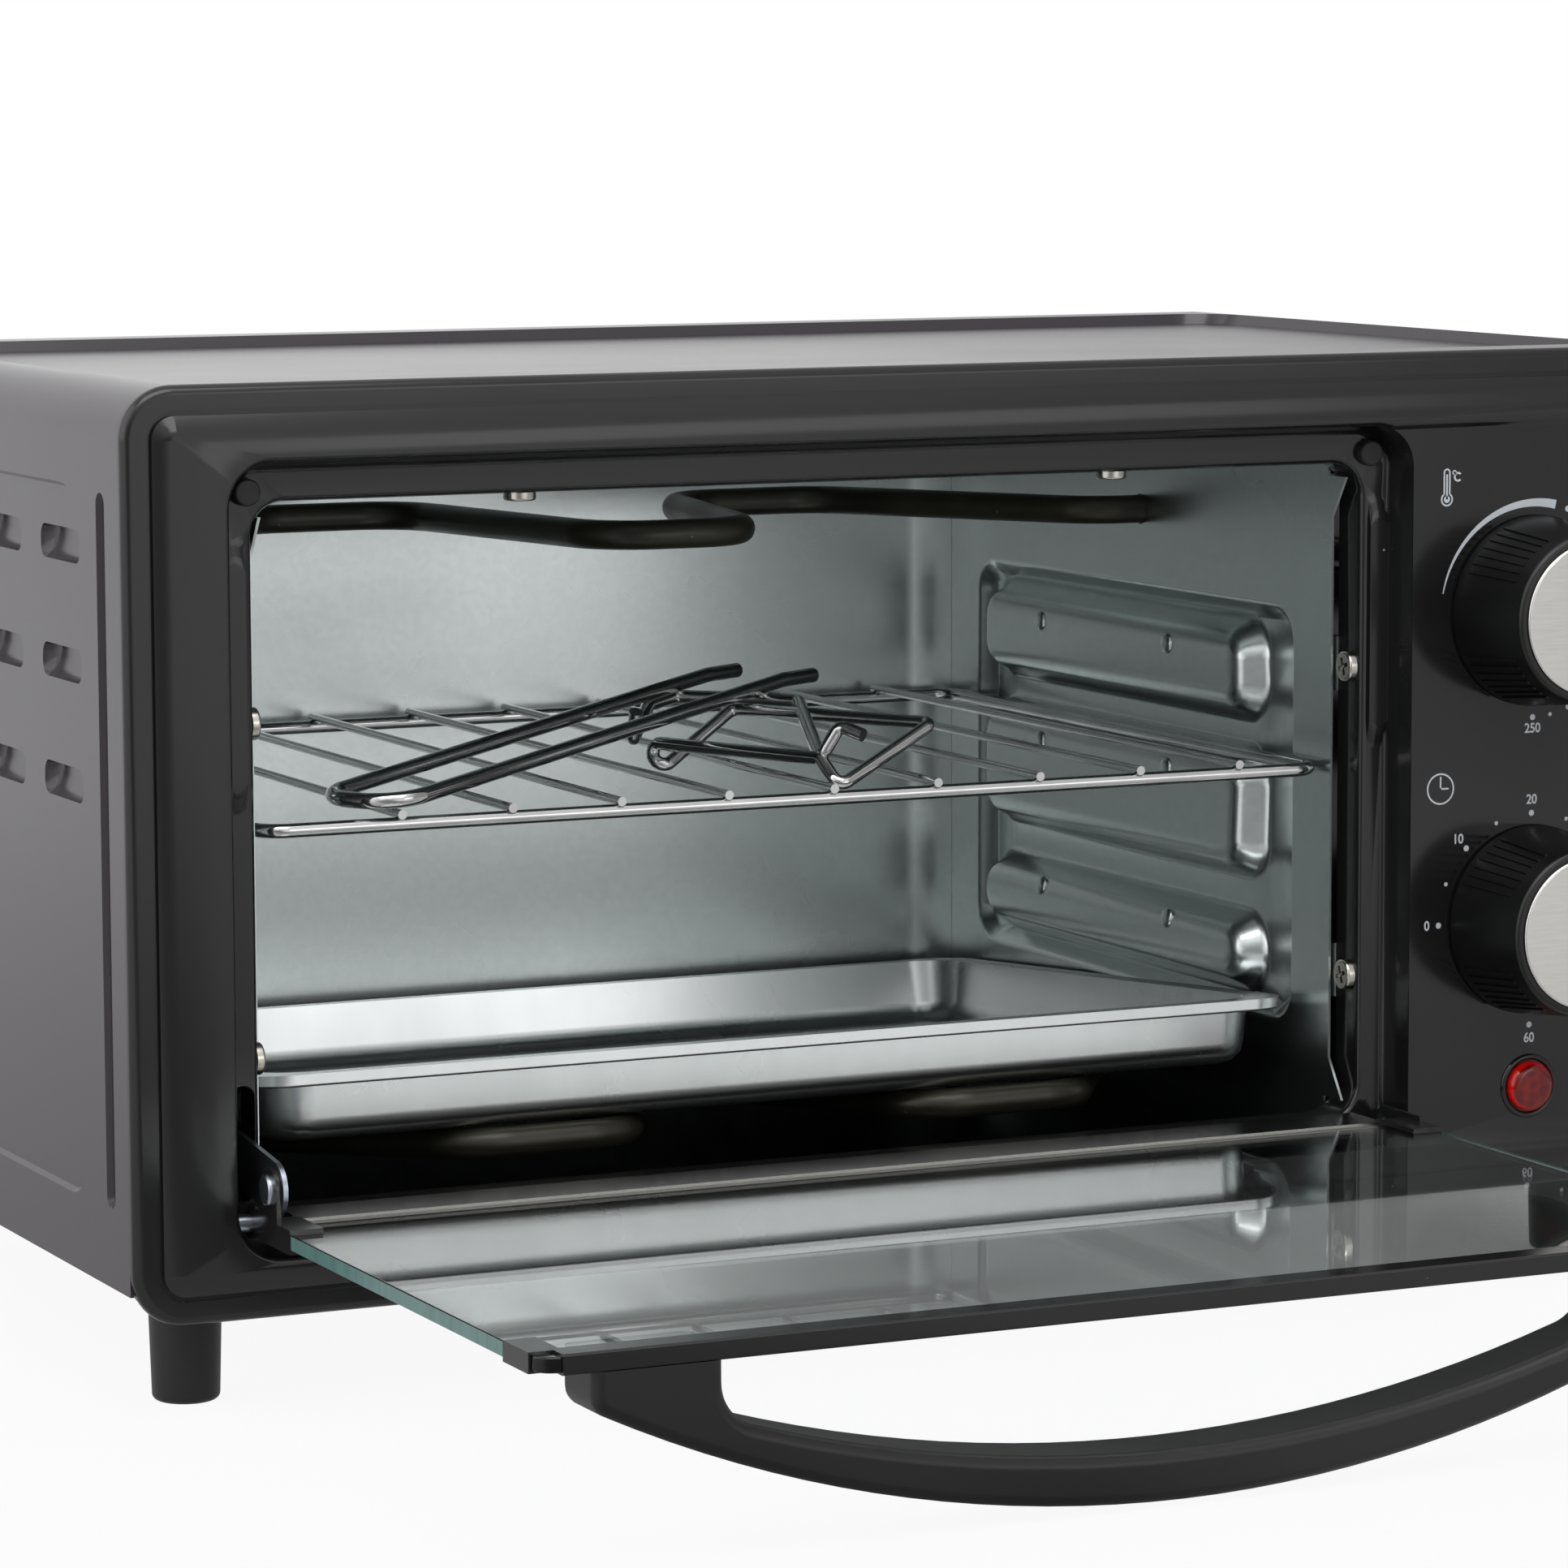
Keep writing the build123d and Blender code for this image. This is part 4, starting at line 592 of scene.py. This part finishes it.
class Print:
    """Flat printing drawn in the plane of the control panel, x to the right and y up, in metres."""

    def __init__(self):
        self.shape = bmesh.new()

    def moved(self, verts, x, y):
        """Shift new vertices to a point."""
        bmesh.ops.translate(self.shape, vec=(x, y, 0.0), verts=verts)

    def disc(self, x, y, radius):
        """Round dot."""
        made = bmesh.ops.create_circle(self.shape, cap_ends=True, segments=28, radius=radius)
        self.moved(made["verts"], x, y)

    def ring(self, x, y, radius, width, start=0.0, end=360.0, taper=1.0):
        """Ring or arc of a line width; taper is the share of the width left at the end angle."""
        outer = Vector((radius + width / 2, 0.0, 0.0))
        inner = Vector((radius - width / 2, 0.0, 0.0))
        turn = Matrix.Rotation(math.radians(start), 3, "Z")
        corners = [self.shape.verts.new(turn @ inner), self.shape.verts.new(turn @ outer)]
        edge = self.shape.edges.new(corners)
        whole = end - start >= 360.0
        before = set(self.shape.verts)
        bmesh.ops.spin(self.shape, geom=[*corners, edge], cent=(0, 0, 0), axis=(0, 0, 1),
                       angle=math.radians(end - start), steps=48, use_merge=whole)
        verts = corners + [v for v in self.shape.verts if v not in before]
        for v in verts:
            angle = math.degrees(math.atan2(v.co.y, v.co.x)) - start
            share = (angle % 360.0) / (end - start)
            size = 1.0 + (taper - 1.0) * min(1.0, share)
            v.co *= (radius + (v.co.length - radius) * size) / v.co.length
        self.moved(verts, x, y)

    def bar(self, x0, y0, x1, y1):
        """Upright rectangle between two corners."""
        made = bmesh.ops.create_grid(self.shape, x_segments=1, y_segments=1, size=0.5)
        bmesh.ops.scale(self.shape, vec=(x1 - x0, y1 - y0, 1.0), verts=made["verts"])
        self.moved(made["verts"], (x0 + x1) / 2, (y0 + y1) / 2)

    def words(self, text, x, y, size):
        """Figures, made a mesh and centred on a point."""
        curve = bpy.data.curves.new("Figures", "FONT")
        curve.body = text
        curve.size = size
        curve.offset = size * FIGURE_WEIGHT
        curve.align_x = "CENTER"
        curve.align_y = "CENTER"
        holder = bpy.data.objects.new("Figures", curve)
        mesh = bpy.data.meshes.new_from_object(holder)
        mesh.transform(Matrix.Translation((x, y, 0.0)) @ Matrix.Diagonal((FIGURE_WIDTH, 1.0, 1.0, 1.0)))
        self.shape.from_mesh(mesh)
        bpy.data.objects.remove(holder)
        bpy.data.curves.remove(curve)
        bpy.data.meshes.remove(mesh)

    def lay(self, name, depth):
        """Lay the printing on the panel at a depth, facing the front."""
        mesh = mesh_from(name, self.shape)
        mesh.transform(Matrix(((1, 0, 0, 0), (0, 0, -1, depth), (0, 1, 0, 0), (0, 0, 0, 1))))
        return put(name, mesh, "print_ink", "oven")


def control_point(node):
    """Axis of a control or the lens on the panel, as x and height."""
    low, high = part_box(node)
    return (low[0] + high[0]) / 2, (low[2] + high[2]) / 2


def round_at(centre, radius, angle):
    """Point on a dial at an angle from three o'clock, counted anticlockwise."""
    turn = math.radians(angle)
    return centre[0] + radius * math.cos(turn), centre[1] + radius * math.sin(turn)


# From the switch's front, which lies on the back of the sheet, to the printing
PRINT_SET = 0.83 * MM


def print_depth():
    """Just in front of the control field."""
    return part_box("thermostat_switch")[0][1] - PRINT_SET


# Timer dial: angle of nought, degrees for a minute, place of the clock, and its hands as shares of its radius
NOUGHT_ANGLE = 180.0
MINUTE_ANGLE = 4.5
CLOCK_PLACE = (-23.6 * MM, 30.4 * MM)
LONG_HAND = 0.78
SHORT_HAND = 0.6


def timer_print(dial):
    """Minutes round the timer: nought at nine o'clock and sixty at six o'clock."""
    sheet = Print()
    centre = control_point("timer_shaft")
    for minute in range(0, 61, 5):
        angle = NOUGHT_ANGLE - MINUTE_ANGLE * minute
        numbered = minute % 10 == 0
        sheet.disc(*round_at(centre, dial.ring, angle), dial.dot if numbered else dial.small_dot)
        if numbered:
            sheet.words(str(minute), *round_at(centre, dial.figure_ring, angle), dial.figure)
    x, y = centre[0] + CLOCK_PLACE[0], centre[1] + CLOCK_PLACE[1]
    half = dial.line / 2
    sheet.ring(x, y, dial.symbol - half, dial.line)
    sheet.bar(x - half, y - half, x + half, y + dial.symbol * LONG_HAND)
    sheet.bar(x - half, y - half, x + dial.symbol * SHORT_HAND, y + half)
    return sheet.lay("Timer_printing", print_depth())


# Thermostat dial: ends of the heat arc and the share of its width left at its tip, then the dots' angles
HEAT_ARC = (77.0, 169.0)
HEAT_ARC_TIP = 0.13
HEAT_ARC_SET = 0.1 * MM
DEGREE_DOTS = (69.0, 44.0, 21.0, 0.0, -22.0, -45.0, -67.0)
SMALL_DEGREE_DOT = -79.0
HOTTEST_DOT = -90.0
HOTTEST = "250"
HOTTEST_SET = 0.5 * MM

# Thermometer: place of its bulb, radii of the bulb and its drop, ends of the bulb's ring, the tube's height
# and half width, where its sides start and end, the column's half width and the gap above it
BULB_PLACE = (-22.7 * MM, 25.3 * MM)
BULB_RADIUS = 1.35 * MM
DROP_RADIUS = 0.78 * MM
BULB_RING = (122.0, 418.0)
TUBE_HEIGHT = 6.0 * MM
TUBE_HALF = 0.70 * MM
TUBE_START = 1.15 * MM
TUBE_CAP = 0.1 * MM
COLUMN_HALF = 0.22 * MM
COLUMN_GAP = 0.5 * MM

# Sign of the degrees beside the tube's top: place, radius and line width of its ring and of its letter
DEGREE_RING = (1.9 * MM, -0.15 * MM, 0.42 * MM, 0.26 * MM)
DEGREE_LETTER = (2.8 * MM, -1.1 * MM, 0.86 * MM, 0.44 * MM)
LETTER_ENDS = (42.0, 318.0)


def thermostat_print(dial):
    """Heat arc, degree dots and a thermometer symbol."""
    sheet = Print()
    centre = control_point("thermostat_shaft")
    sheet.ring(*centre, dial.ring + HEAT_ARC_SET, dial.arc, *HEAT_ARC, HEAT_ARC_TIP)
    for angle in DEGREE_DOTS:
        sheet.disc(*round_at(centre, dial.ring, angle), dial.dot)
    sheet.disc(*round_at(centre, dial.ring, SMALL_DEGREE_DOT), dial.small_dot)
    sheet.disc(*round_at(centre, dial.ring, HOTTEST_DOT), dial.dot)
    sheet.words(HOTTEST, *round_at(centre, dial.figure_ring - HOTTEST_SET, HOTTEST_DOT), dial.figure)
    x, bulb = centre[0] + BULB_PLACE[0], centre[1] + BULB_PLACE[1]
    top = bulb + TUBE_HEIGHT
    sheet.ring(x, bulb, BULB_RADIUS, dial.line, *BULB_RING)
    sheet.disc(x, bulb, DROP_RADIUS)
    sheet.bar(x - COLUMN_HALF, bulb, x + COLUMN_HALF, top - COLUMN_GAP)
    for side in (-1, 1):
        edge = x + side * TUBE_HALF
        sheet.bar(edge - dial.line / 2, bulb + TUBE_START, edge + dial.line / 2, top - TUBE_CAP)
    sheet.ring(x, top - TUBE_CAP, TUBE_HALF, dial.line, 0.0, 180.0)
    for (right, up, radius, width), ends in ((DEGREE_RING, ()), (DEGREE_LETTER, LETTER_ENDS)):
        sheet.ring(x + right, top + up, radius, width, *ends)
    return sheet.lay("Thermostat_printing", print_depth())


class OVEN_OT_prints(bpy.types.Operator):
    """Print the dials of the timer and the thermostat"""
    bl_idname = "oven.prints"
    bl_label = "Print the dials"

    def execute(self, context):
        dial = context.scene.oven_dial
        timer_print(dial)
        thermostat_print(dial)
        return {"FINISHED"}


def surface_point(node, start, direction):
    """Point and normal where a ray meets a CAD node."""
    found, place, normal, _ = frame["nodes"][node].ray_cast(start, direction)
    if not found:
        raise RuntimeError("No surface found on " + node)
    return place, normal


def stand_on(place, normal):
    """Matrix that stands a shape on a surface with its Z axis along the normal."""
    return Matrix.Translation(place) @ normal.to_track_quat("Z", "Y").to_matrix().to_4x4()


def dome(shape, place, normal, radius, rise):
    """Low round dome, half sunk in a surface."""
    size = Matrix.Diagonal((radius, radius, rise, 1.0))
    bmesh.ops.create_uvsphere(
        shape, u_segments=24, v_segments=12, radius=1.0, matrix=stand_on(place, normal) @ size)


# Turn of a screw's cross, in degrees
CROSS_TURN = 35.0


def cross(shape, place, normal, length, width):
    """Cross recess of a screw head, as two thin bars that carry the painted shade of the hollow."""
    for angle in (CROSS_TURN, CROSS_TURN + 90.0):
        turn = Matrix.Rotation(math.radians(angle), 4, "Z")
        size = Matrix.Diagonal((length, width, width / 2, 1.0))
        bmesh.ops.create_cube(shape, size=1.0, matrix=stand_on(place, normal) @ turn @ size)


def finished(name, shape, slot, smooth):
    """Piece of the oven body from a bmesh."""
    mesh = mesh_from(name, shape)
    if smooth:
        mesh.shade_smooth()
    return put(name, mesh, slot, "oven")


# How far behind the back panel the search for its surface starts
BACK_REACH = 0.1


class OVEN_OT_screws(bpy.types.Operator):
    """Set screws in the back panel and mark the cross recesses of the screw heads with painted shade"""
    bl_idname = "oven.screws"
    bl_label = "Set the screws"

    def execute(self, context):
        screws = context.scene.oven_screws
        context.view_layer.update()
        heads = bmesh.new()
        recesses = bmesh.new()
        low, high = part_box("back_panel")
        columns = (low[0] + screws.inset, (low[0] + high[0]) / 2, high[0] - screws.inset)
        behind = high[1] + BACK_REACH
        for x in columns:
            for z in (low[2] + screws.inset, high[2] - screws.inset):
                place, normal = surface_point("back_panel", (x, behind, z), (0.0, -1.0, 0.0))
                dome(heads, place, normal, screws.radius, screws.rise)
                cross(recesses, place + normal * screws.rise, normal, screws.recess, screws.slot)
        middle = (columns[0] + columns[2]) / 2
        for z in screws.flange_heights:
            for side in (-1.0, 1.0):
                start = (middle, screws.flange_depth, z)
                place, _ = surface_point("frame_screws", start, (side, 0.0, 0.0))
                cross(recesses, place, Vector((-side, 0.0, 0.0)), screws.recess, screws.slot)
        finished("Back_screw_heads", heads, "screw_steel", True)
        # Painted shade: dark bars where the cross recesses lie in shade
        finished("Screw_recesses", recesses, "recess_dark", False)
        return {"FINISHED"}


class OVEN_OT_pips(bpy.types.Operator):
    """Press small stops into the rack ledges of both cavity walls"""
    bl_idname = "oven.pips"
    bl_label = "Press the ledge stops"

    def execute(self, context):
        pips = context.scene.oven_pips
        context.view_layer.update()
        middle = (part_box("cavity_left_wall")[1][0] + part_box("cavity_right_wall")[0][0]) / 2
        shape = bmesh.new()
        for wall, side in (("cavity_left_wall", -1.0), ("cavity_right_wall", 1.0)):
            for depth in pips.depths:
                for height in pips.heights:
                    place, normal = surface_point(wall, (middle, depth, height), (side, 0.0, 0.0))
                    dome(shape, place, normal, pips.radius, pips.rise)
        finished("Ledge_stops", shape, "galvanised", True)
        return {"FINISHED"}


# Band on the glass edge: thickness, rounding, and how far it stays from the clips and from the faces
BAND_THICKNESS = 0.10 * MM
BAND_ROUND = 0.04 * MM
BAND_END_GAP = 0.2 * MM
BAND_FACE_GAP = 0.1 * MM


def glass_strip(name, x, y0, y1, z0, z1):
    """Thin band along one long edge of the door glass, with its corners rounded off."""
    shape = bmesh.new()
    made = bmesh.ops.create_cube(shape, size=1.0)
    bmesh.ops.scale(shape, vec=(BAND_THICKNESS, y1 - y0, z1 - z0), verts=made["verts"])
    bmesh.ops.translate(shape, vec=(x, (y0 + y1) / 2, (z0 + z1) / 2), verts=made["verts"])
    bmesh.ops.bevel(shape, geom=shape.edges[:], offset=BAND_ROUND, affect="EDGES", segments=1, profile=0.5,
                    material=-1)
    return put(name, mesh_from(name, shape), "glass_edge", "door")


class OVEN_OT_glass(bpy.types.Operator):
    """Show the green of the door glass along its two long edges"""
    bl_idname = "oven.glass"
    bl_label = "Edge the door glass"

    def execute(self, context):
        low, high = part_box("door_glass")
        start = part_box("corner_clips")[1][1]
        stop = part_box("hinge_arm_left")[0][1]
        for name, x in (("Left_glass_edge", low[0]), ("Right_glass_edge", high[0])):
            glass_strip(name, x, start + BAND_END_GAP, stop - BAND_END_GAP,
                        low[2] + BAND_FACE_GAP, high[2] - BAND_FACE_GAP)
        return {"FINISHED"}


def spun_ring(name, centre, depth, radius, half):
    """Round bead about an axis that points at the front."""
    shape = bmesh.new()
    rim = bmesh.ops.create_circle(shape, segments=14, radius=half)["verts"]
    bmesh.ops.translate(shape, vec=(radius, 0.0, 0.0), verts=rim)
    bmesh.ops.rotate(shape, cent=(0, 0, 0), matrix=Matrix.Rotation(math.radians(90), 3, "X"), verts=rim)
    bmesh.ops.spin(shape, geom=shape.verts[:] + shape.edges[:], cent=(0, 0, 0), axis=(0, 0, 1),
                   angle=math.radians(360), steps=72, use_merge=True)
    bmesh.ops.recalc_face_normals(shape, faces=shape.faces[:])
    mesh = mesh_from(name, shape)
    forward = Matrix.Rotation(math.radians(90), 4, "X")
    mesh.transform(Matrix.Translation((centre[0], depth, centre[1])) @ forward)
    mesh.shade_smooth()
    return mesh


# Bead of the indicator's hole: reach past the lens, half thickness, and depth behind the printing
BEAD_REACH = 0.95 * MM
BEAD_HALF = 0.7 * MM
BEAD_SET = 0.1 * MM


class OVEN_OT_indicator(bpy.types.Operator):
    """Roll the edge of the panel's hole round the indicator lens"""
    bl_idname = "oven.indicator"
    bl_label = "Edge the indicator hole"

    def execute(self, context):
        centre = control_point("indicator_lens")
        low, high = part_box("indicator_lens")
        radius = (high[0] - low[0]) / 2
        mesh = spun_ring("Indicator_rim", centre, print_depth() + BEAD_SET, radius + BEAD_REACH, BEAD_HALF)
        put("Indicator_rim", mesh, "panel_paint", "oven")
        return {"FINISHED"}


# Shares of plain white in the floor, for the rays that see it
FLOOR_SHARES = {"camera": 0.93, "glass": 0.25, "gloss": 0.85}
# Painted shadow round the oven: gloss sees the floor at this strength up to this distance from the oven
NEAR_FLOOR = 0.55
NEAR_REACH = 0.30
# Unlit side of the room that gloss sees: its direction, the cosines at its outer and inner edge, its strength
DIM_SIDE = (-0.43, -0.90, 0.0)
DIM_EDGES = (0.87, 0.98)
DIM_STRENGTH = 0.28
# Right side of the room that gloss sees: where it starts and ends in x, and its strength
RIGHT_EDGES = (0.36, 0.62)
RIGHT_STRENGTH = 0.4


def dim_side(tree, direction):
    """Strength over directions: full, and low towards the unlit front left of the room."""
    towards = add(tree, "ShaderNodeVectorMath", (-900, -500), operation="DOT_PRODUCT")
    towards.inputs[1].default_value = DIM_SIDE
    share = map_range(tree, (-700, -500), DIM_EDGES, (1.0, DIM_STRENGTH))
    wire(tree,
         (direction, towards.inputs[0]),
         (towards.outputs["Value"], share.inputs["Value"]))
    return share.outputs["Result"]


def lay_floor(radius):
    """Round pale floor that the camera sees as white, with the oven's shadow on it.

    Gloss sees it darker close to the oven, a painted shadow of the oven, and towards the unlit side of the
    room.
    """
    shape = bmesh.new()
    bmesh.ops.create_circle(shape, cap_ends=True, segments=96, radius=radius)
    mesh = mesh_from("Studio floor", shape)
    floor = bpy.data.objects.new("Studio floor", mesh)
    bpy.context.scene.collection.objects.link(floor)
    material = bpy.data.materials.new("Studio floor")
    material.use_nodes = True
    tree = material.node_tree
    shader = fill(tree.nodes["Principled BSDF"], Base_Color=(0.62, 0.62, 0.62, 1.0), Roughness=0.7)
    glow = fill(add(tree, "ShaderNodeEmission", (0, -300)), Color=(1.0, 1.0, 1.0, 1.0))
    mix = add(tree, "ShaderNodeMixShader", (300, 0))
    path = add(tree, "ShaderNodeLightPath", (-900, 300))
    mirrored = add(tree, "ShaderNodeMath", (-750, 0), operation="SUBTRACT", use_clamp=True)
    wire(tree,
         (path.outputs["Is Glossy Ray"], mirrored.inputs[0]),
         (path.outputs["Is Transmission Ray"], mirrored.inputs[1]))
    rays = {"camera": path.outputs["Is Camera Ray"], "glass": path.outputs["Is Transmission Ray"],
            "gloss": mirrored.outputs[0]}
    shares = []
    for kind, ray in rays.items():
        part = add(tree, "ShaderNodeMath", (-600, 300 - 150 * len(shares)), operation="MULTIPLY")
        part.inputs[1].default_value = FLOOR_SHARES[kind]
        tree.links.new(ray, part.inputs[0])
        shares.append(part.outputs[0])
    total = shares[0]
    for share in shares[1:]:
        larger = add(tree, "ShaderNodeMath", (-300, 300), operation="MAXIMUM")
        wire(tree,
             (total, larger.inputs[0]),
             (share, larger.inputs[1]))
        total = larger.outputs[0]
    tree.links.new(total, mix.inputs["Fac"])
    place = add(tree, "ShaderNodeTexCoord", (-1500, -300)).outputs["Object"]
    away = add(tree, "ShaderNodeVectorMath", (-1200, -200), operation="LENGTH")
    # Painted shadow: the floor's glow for gloss rises from the near strength by the oven to full at the
    # floor's rim
    far = map_range(tree, (-900, -200), (NEAR_REACH, radius), (NEAR_FLOOR, 1.0))
    ray = add(tree, "ShaderNodeVectorMath", (-1200, -400), operation="NORMALIZE")
    both = add(tree, "ShaderNodeMath", (-500, -300), operation="MULTIPLY")
    seen = add(tree, "ShaderNodeMix", (-250, -300))
    seen.inputs["A"].default_value = 1.0
    wire(tree,
         (place, away.inputs[0]),
         (away.outputs["Value"], far.inputs["Value"]),
         (place, ray.inputs[0]),
         (far.outputs["Result"], both.inputs[0]),
         (dim_side(tree, ray.outputs["Vector"]), both.inputs[1]),
         (both.outputs[0], seen.inputs["B"]),
         (mirrored.outputs[0], seen.inputs["Factor"]),
         (seen.outputs["Result"], glow.inputs["Strength"]),
         (shader.outputs["BSDF"], mix.inputs[1]),
         (glow.outputs["Emission"], mix.inputs[2]),
         (mix.outputs["Shader"], tree.nodes["Material Output"].inputs["Surface"]))
    mesh.materials.append(material)


def light_room(scene, strength):
    """Even room light; the camera and glass see plain white, and gloss white with two dimmer sides."""
    world = bpy.data.worlds.new("Studio room")
    scene.world = world
    world.use_nodes = True
    tree = world.node_tree
    background = fill(tree.nodes["Background"], Color=(1.0, 1.0, 1.0, 1.0))
    path = add(tree, "ShaderNodeLightPath", (-900, 200))
    place = add(tree, "ShaderNodeTexCoord", (-1300, -200))
    apart = add(tree, "ShaderNodeSeparateXYZ", (-1100, -200))
    right = map_range(tree, (-900, -200), RIGHT_EDGES, (1.0, RIGHT_STRENGTH))
    both = add(tree, "ShaderNodeMath", (-500, -300), operation="MULTIPLY")
    gloss = add(tree, "ShaderNodeMix", (-300, 100))
    gloss.inputs["A"].default_value = strength
    shown = add(tree, "ShaderNodeMix", (-100, 100))
    shown.inputs["B"].default_value = 1.0
    either = add(tree, "ShaderNodeMath", (-450, 300), operation="MAXIMUM")
    wire(tree,
         (place.outputs["Generated"], apart.inputs["Vector"]),
         (apart.outputs["X"], right.inputs["Value"]),
         (right.outputs["Result"], both.inputs[0]),
         (dim_side(tree, place.outputs["Generated"]), both.inputs[1]),
         (both.outputs[0], gloss.inputs["B"]),
         (path.outputs["Is Glossy Ray"], gloss.inputs["Factor"]),
         (path.outputs["Is Camera Ray"], either.inputs[0]),
         (path.outputs["Is Transmission Ray"], either.inputs[1]),
         (either.outputs[0], shown.inputs["Factor"]),
         (gloss.outputs["Result"], shown.inputs["A"]),
         (shown.outputs["Result"], background.inputs["Strength"]))


def soft_box(name, place, aim, size, power):
    """Rectangular soft light turned towards a point."""
    lamp = bpy.data.lights.new(name, "AREA")
    lamp.shape = "RECTANGLE"
    lamp.size, lamp.size_y = size
    lamp.energy = power
    holder = bpy.data.objects.new(name, lamp)
    holder.location = place
    holder.rotation_euler = (Vector(aim) - Vector(place)).to_track_quat("-Z", "Y").to_euler()
    bpy.context.scene.collection.objects.link(holder)


def set_camera(scene, stage):
    """Camera at the photograph's place and angle."""
    look = Vector((math.sin(stage.turn) * math.cos(stage.tilt), math.cos(stage.turn) * math.cos(stage.tilt),
                   -math.sin(stage.tilt)))
    right = Vector((math.cos(stage.turn), -math.sin(stage.turn), 0.0))
    down = look.cross(right)
    across = right * math.cos(stage.roll) + down * math.sin(stage.roll)
    below = down * math.cos(stage.roll) - right * math.sin(stage.roll)
    turn = Matrix((across, -below, -look)).transposed()
    camera = bpy.data.cameras.new("Camera")
    camera.sensor_width = 36.0
    camera.lens = stage.lens
    holder = bpy.data.objects.new("Camera", camera)
    holder.matrix_world = Matrix.Translation(stage.place) @ turn.to_4x4()
    scene.collection.objects.link(holder)
    scene.camera = holder


# Soft boxes: name, setting of its power, place, point that it faces, width and height, in metres
SOFT_BOXES = (
    ("Key soft box", "key", (-0.25, -0.7, 1.35), (0.0, 0.0, 0.1), (1.2, 0.8)),
    ("Side soft box", "fill", (-1.35, 0.05, 0.75), (-0.1, 0.05, 0.1), (1.5, 1.3)),
    ("Front soft box", "front", (0.62, -1.5, 0.42), (0.05, 0.0, 0.12), (0.6, 0.5)),
)


class OVEN_OT_stage(bpy.types.Operator):
    """Lay the floor, the lights and the camera"""
    bl_idname = "oven.stage"
    bl_label = "Lay the stage"

    def execute(self, context):
        scene = context.scene
        stage = scene.oven_stage
        lay_floor(stage.floor)
        light_room(scene, stage.room)
        for name, power, place, aim, size in SOFT_BOXES:
            soft_box(name, place, aim, size, getattr(stage, power))
        set_camera(scene, stage)
        scene.view_settings.view_transform = "Standard"
        return {"FINISHED"}


class OVEN_PT_panel(bpy.types.Panel):
    """Lists the oven's operators"""
    bl_label = "Toaster oven"
    bl_idname = "OVEN_PT_panel"
    bl_space_type = "VIEW_3D"
    bl_region_type = "UI"
    bl_category = "Oven"

    def draw(self, context):
        for operator in OPERATORS:
            self.layout.operator(operator.bl_idname)


OPERATORS = (OVEN_OT_dress, OVEN_OT_prints, OVEN_OT_screws, OVEN_OT_pips, OVEN_OT_glass, OVEN_OT_indicator,
             OVEN_OT_stage)
SETTINGS = {"oven_finish": OvenFinish, "oven_dial": OvenDial, "oven_pips": OvenPips,
            "oven_screws": OvenScrews, "oven_stage": OvenStage}
CLASSES = (*SETTINGS.values(), *OPERATORS, OVEN_PT_panel)


def register():
    for item in CLASSES:
        bpy.utils.register_class(item)
    for name, group in SETTINGS.items():
        setattr(bpy.types.Scene, name, bpy.props.PointerProperty(type=group))


def unregister():
    for name in SETTINGS:
        delattr(bpy.types.Scene, name)
    for item in reversed(CLASSES):
        bpy.utils.unregister_class(item)


def main():
    register()
    for operator in OPERATORS:
        getattr(bpy.ops.oven, operator.bl_idname.split(".")[1])()


if __name__ == "__main__":
    main()
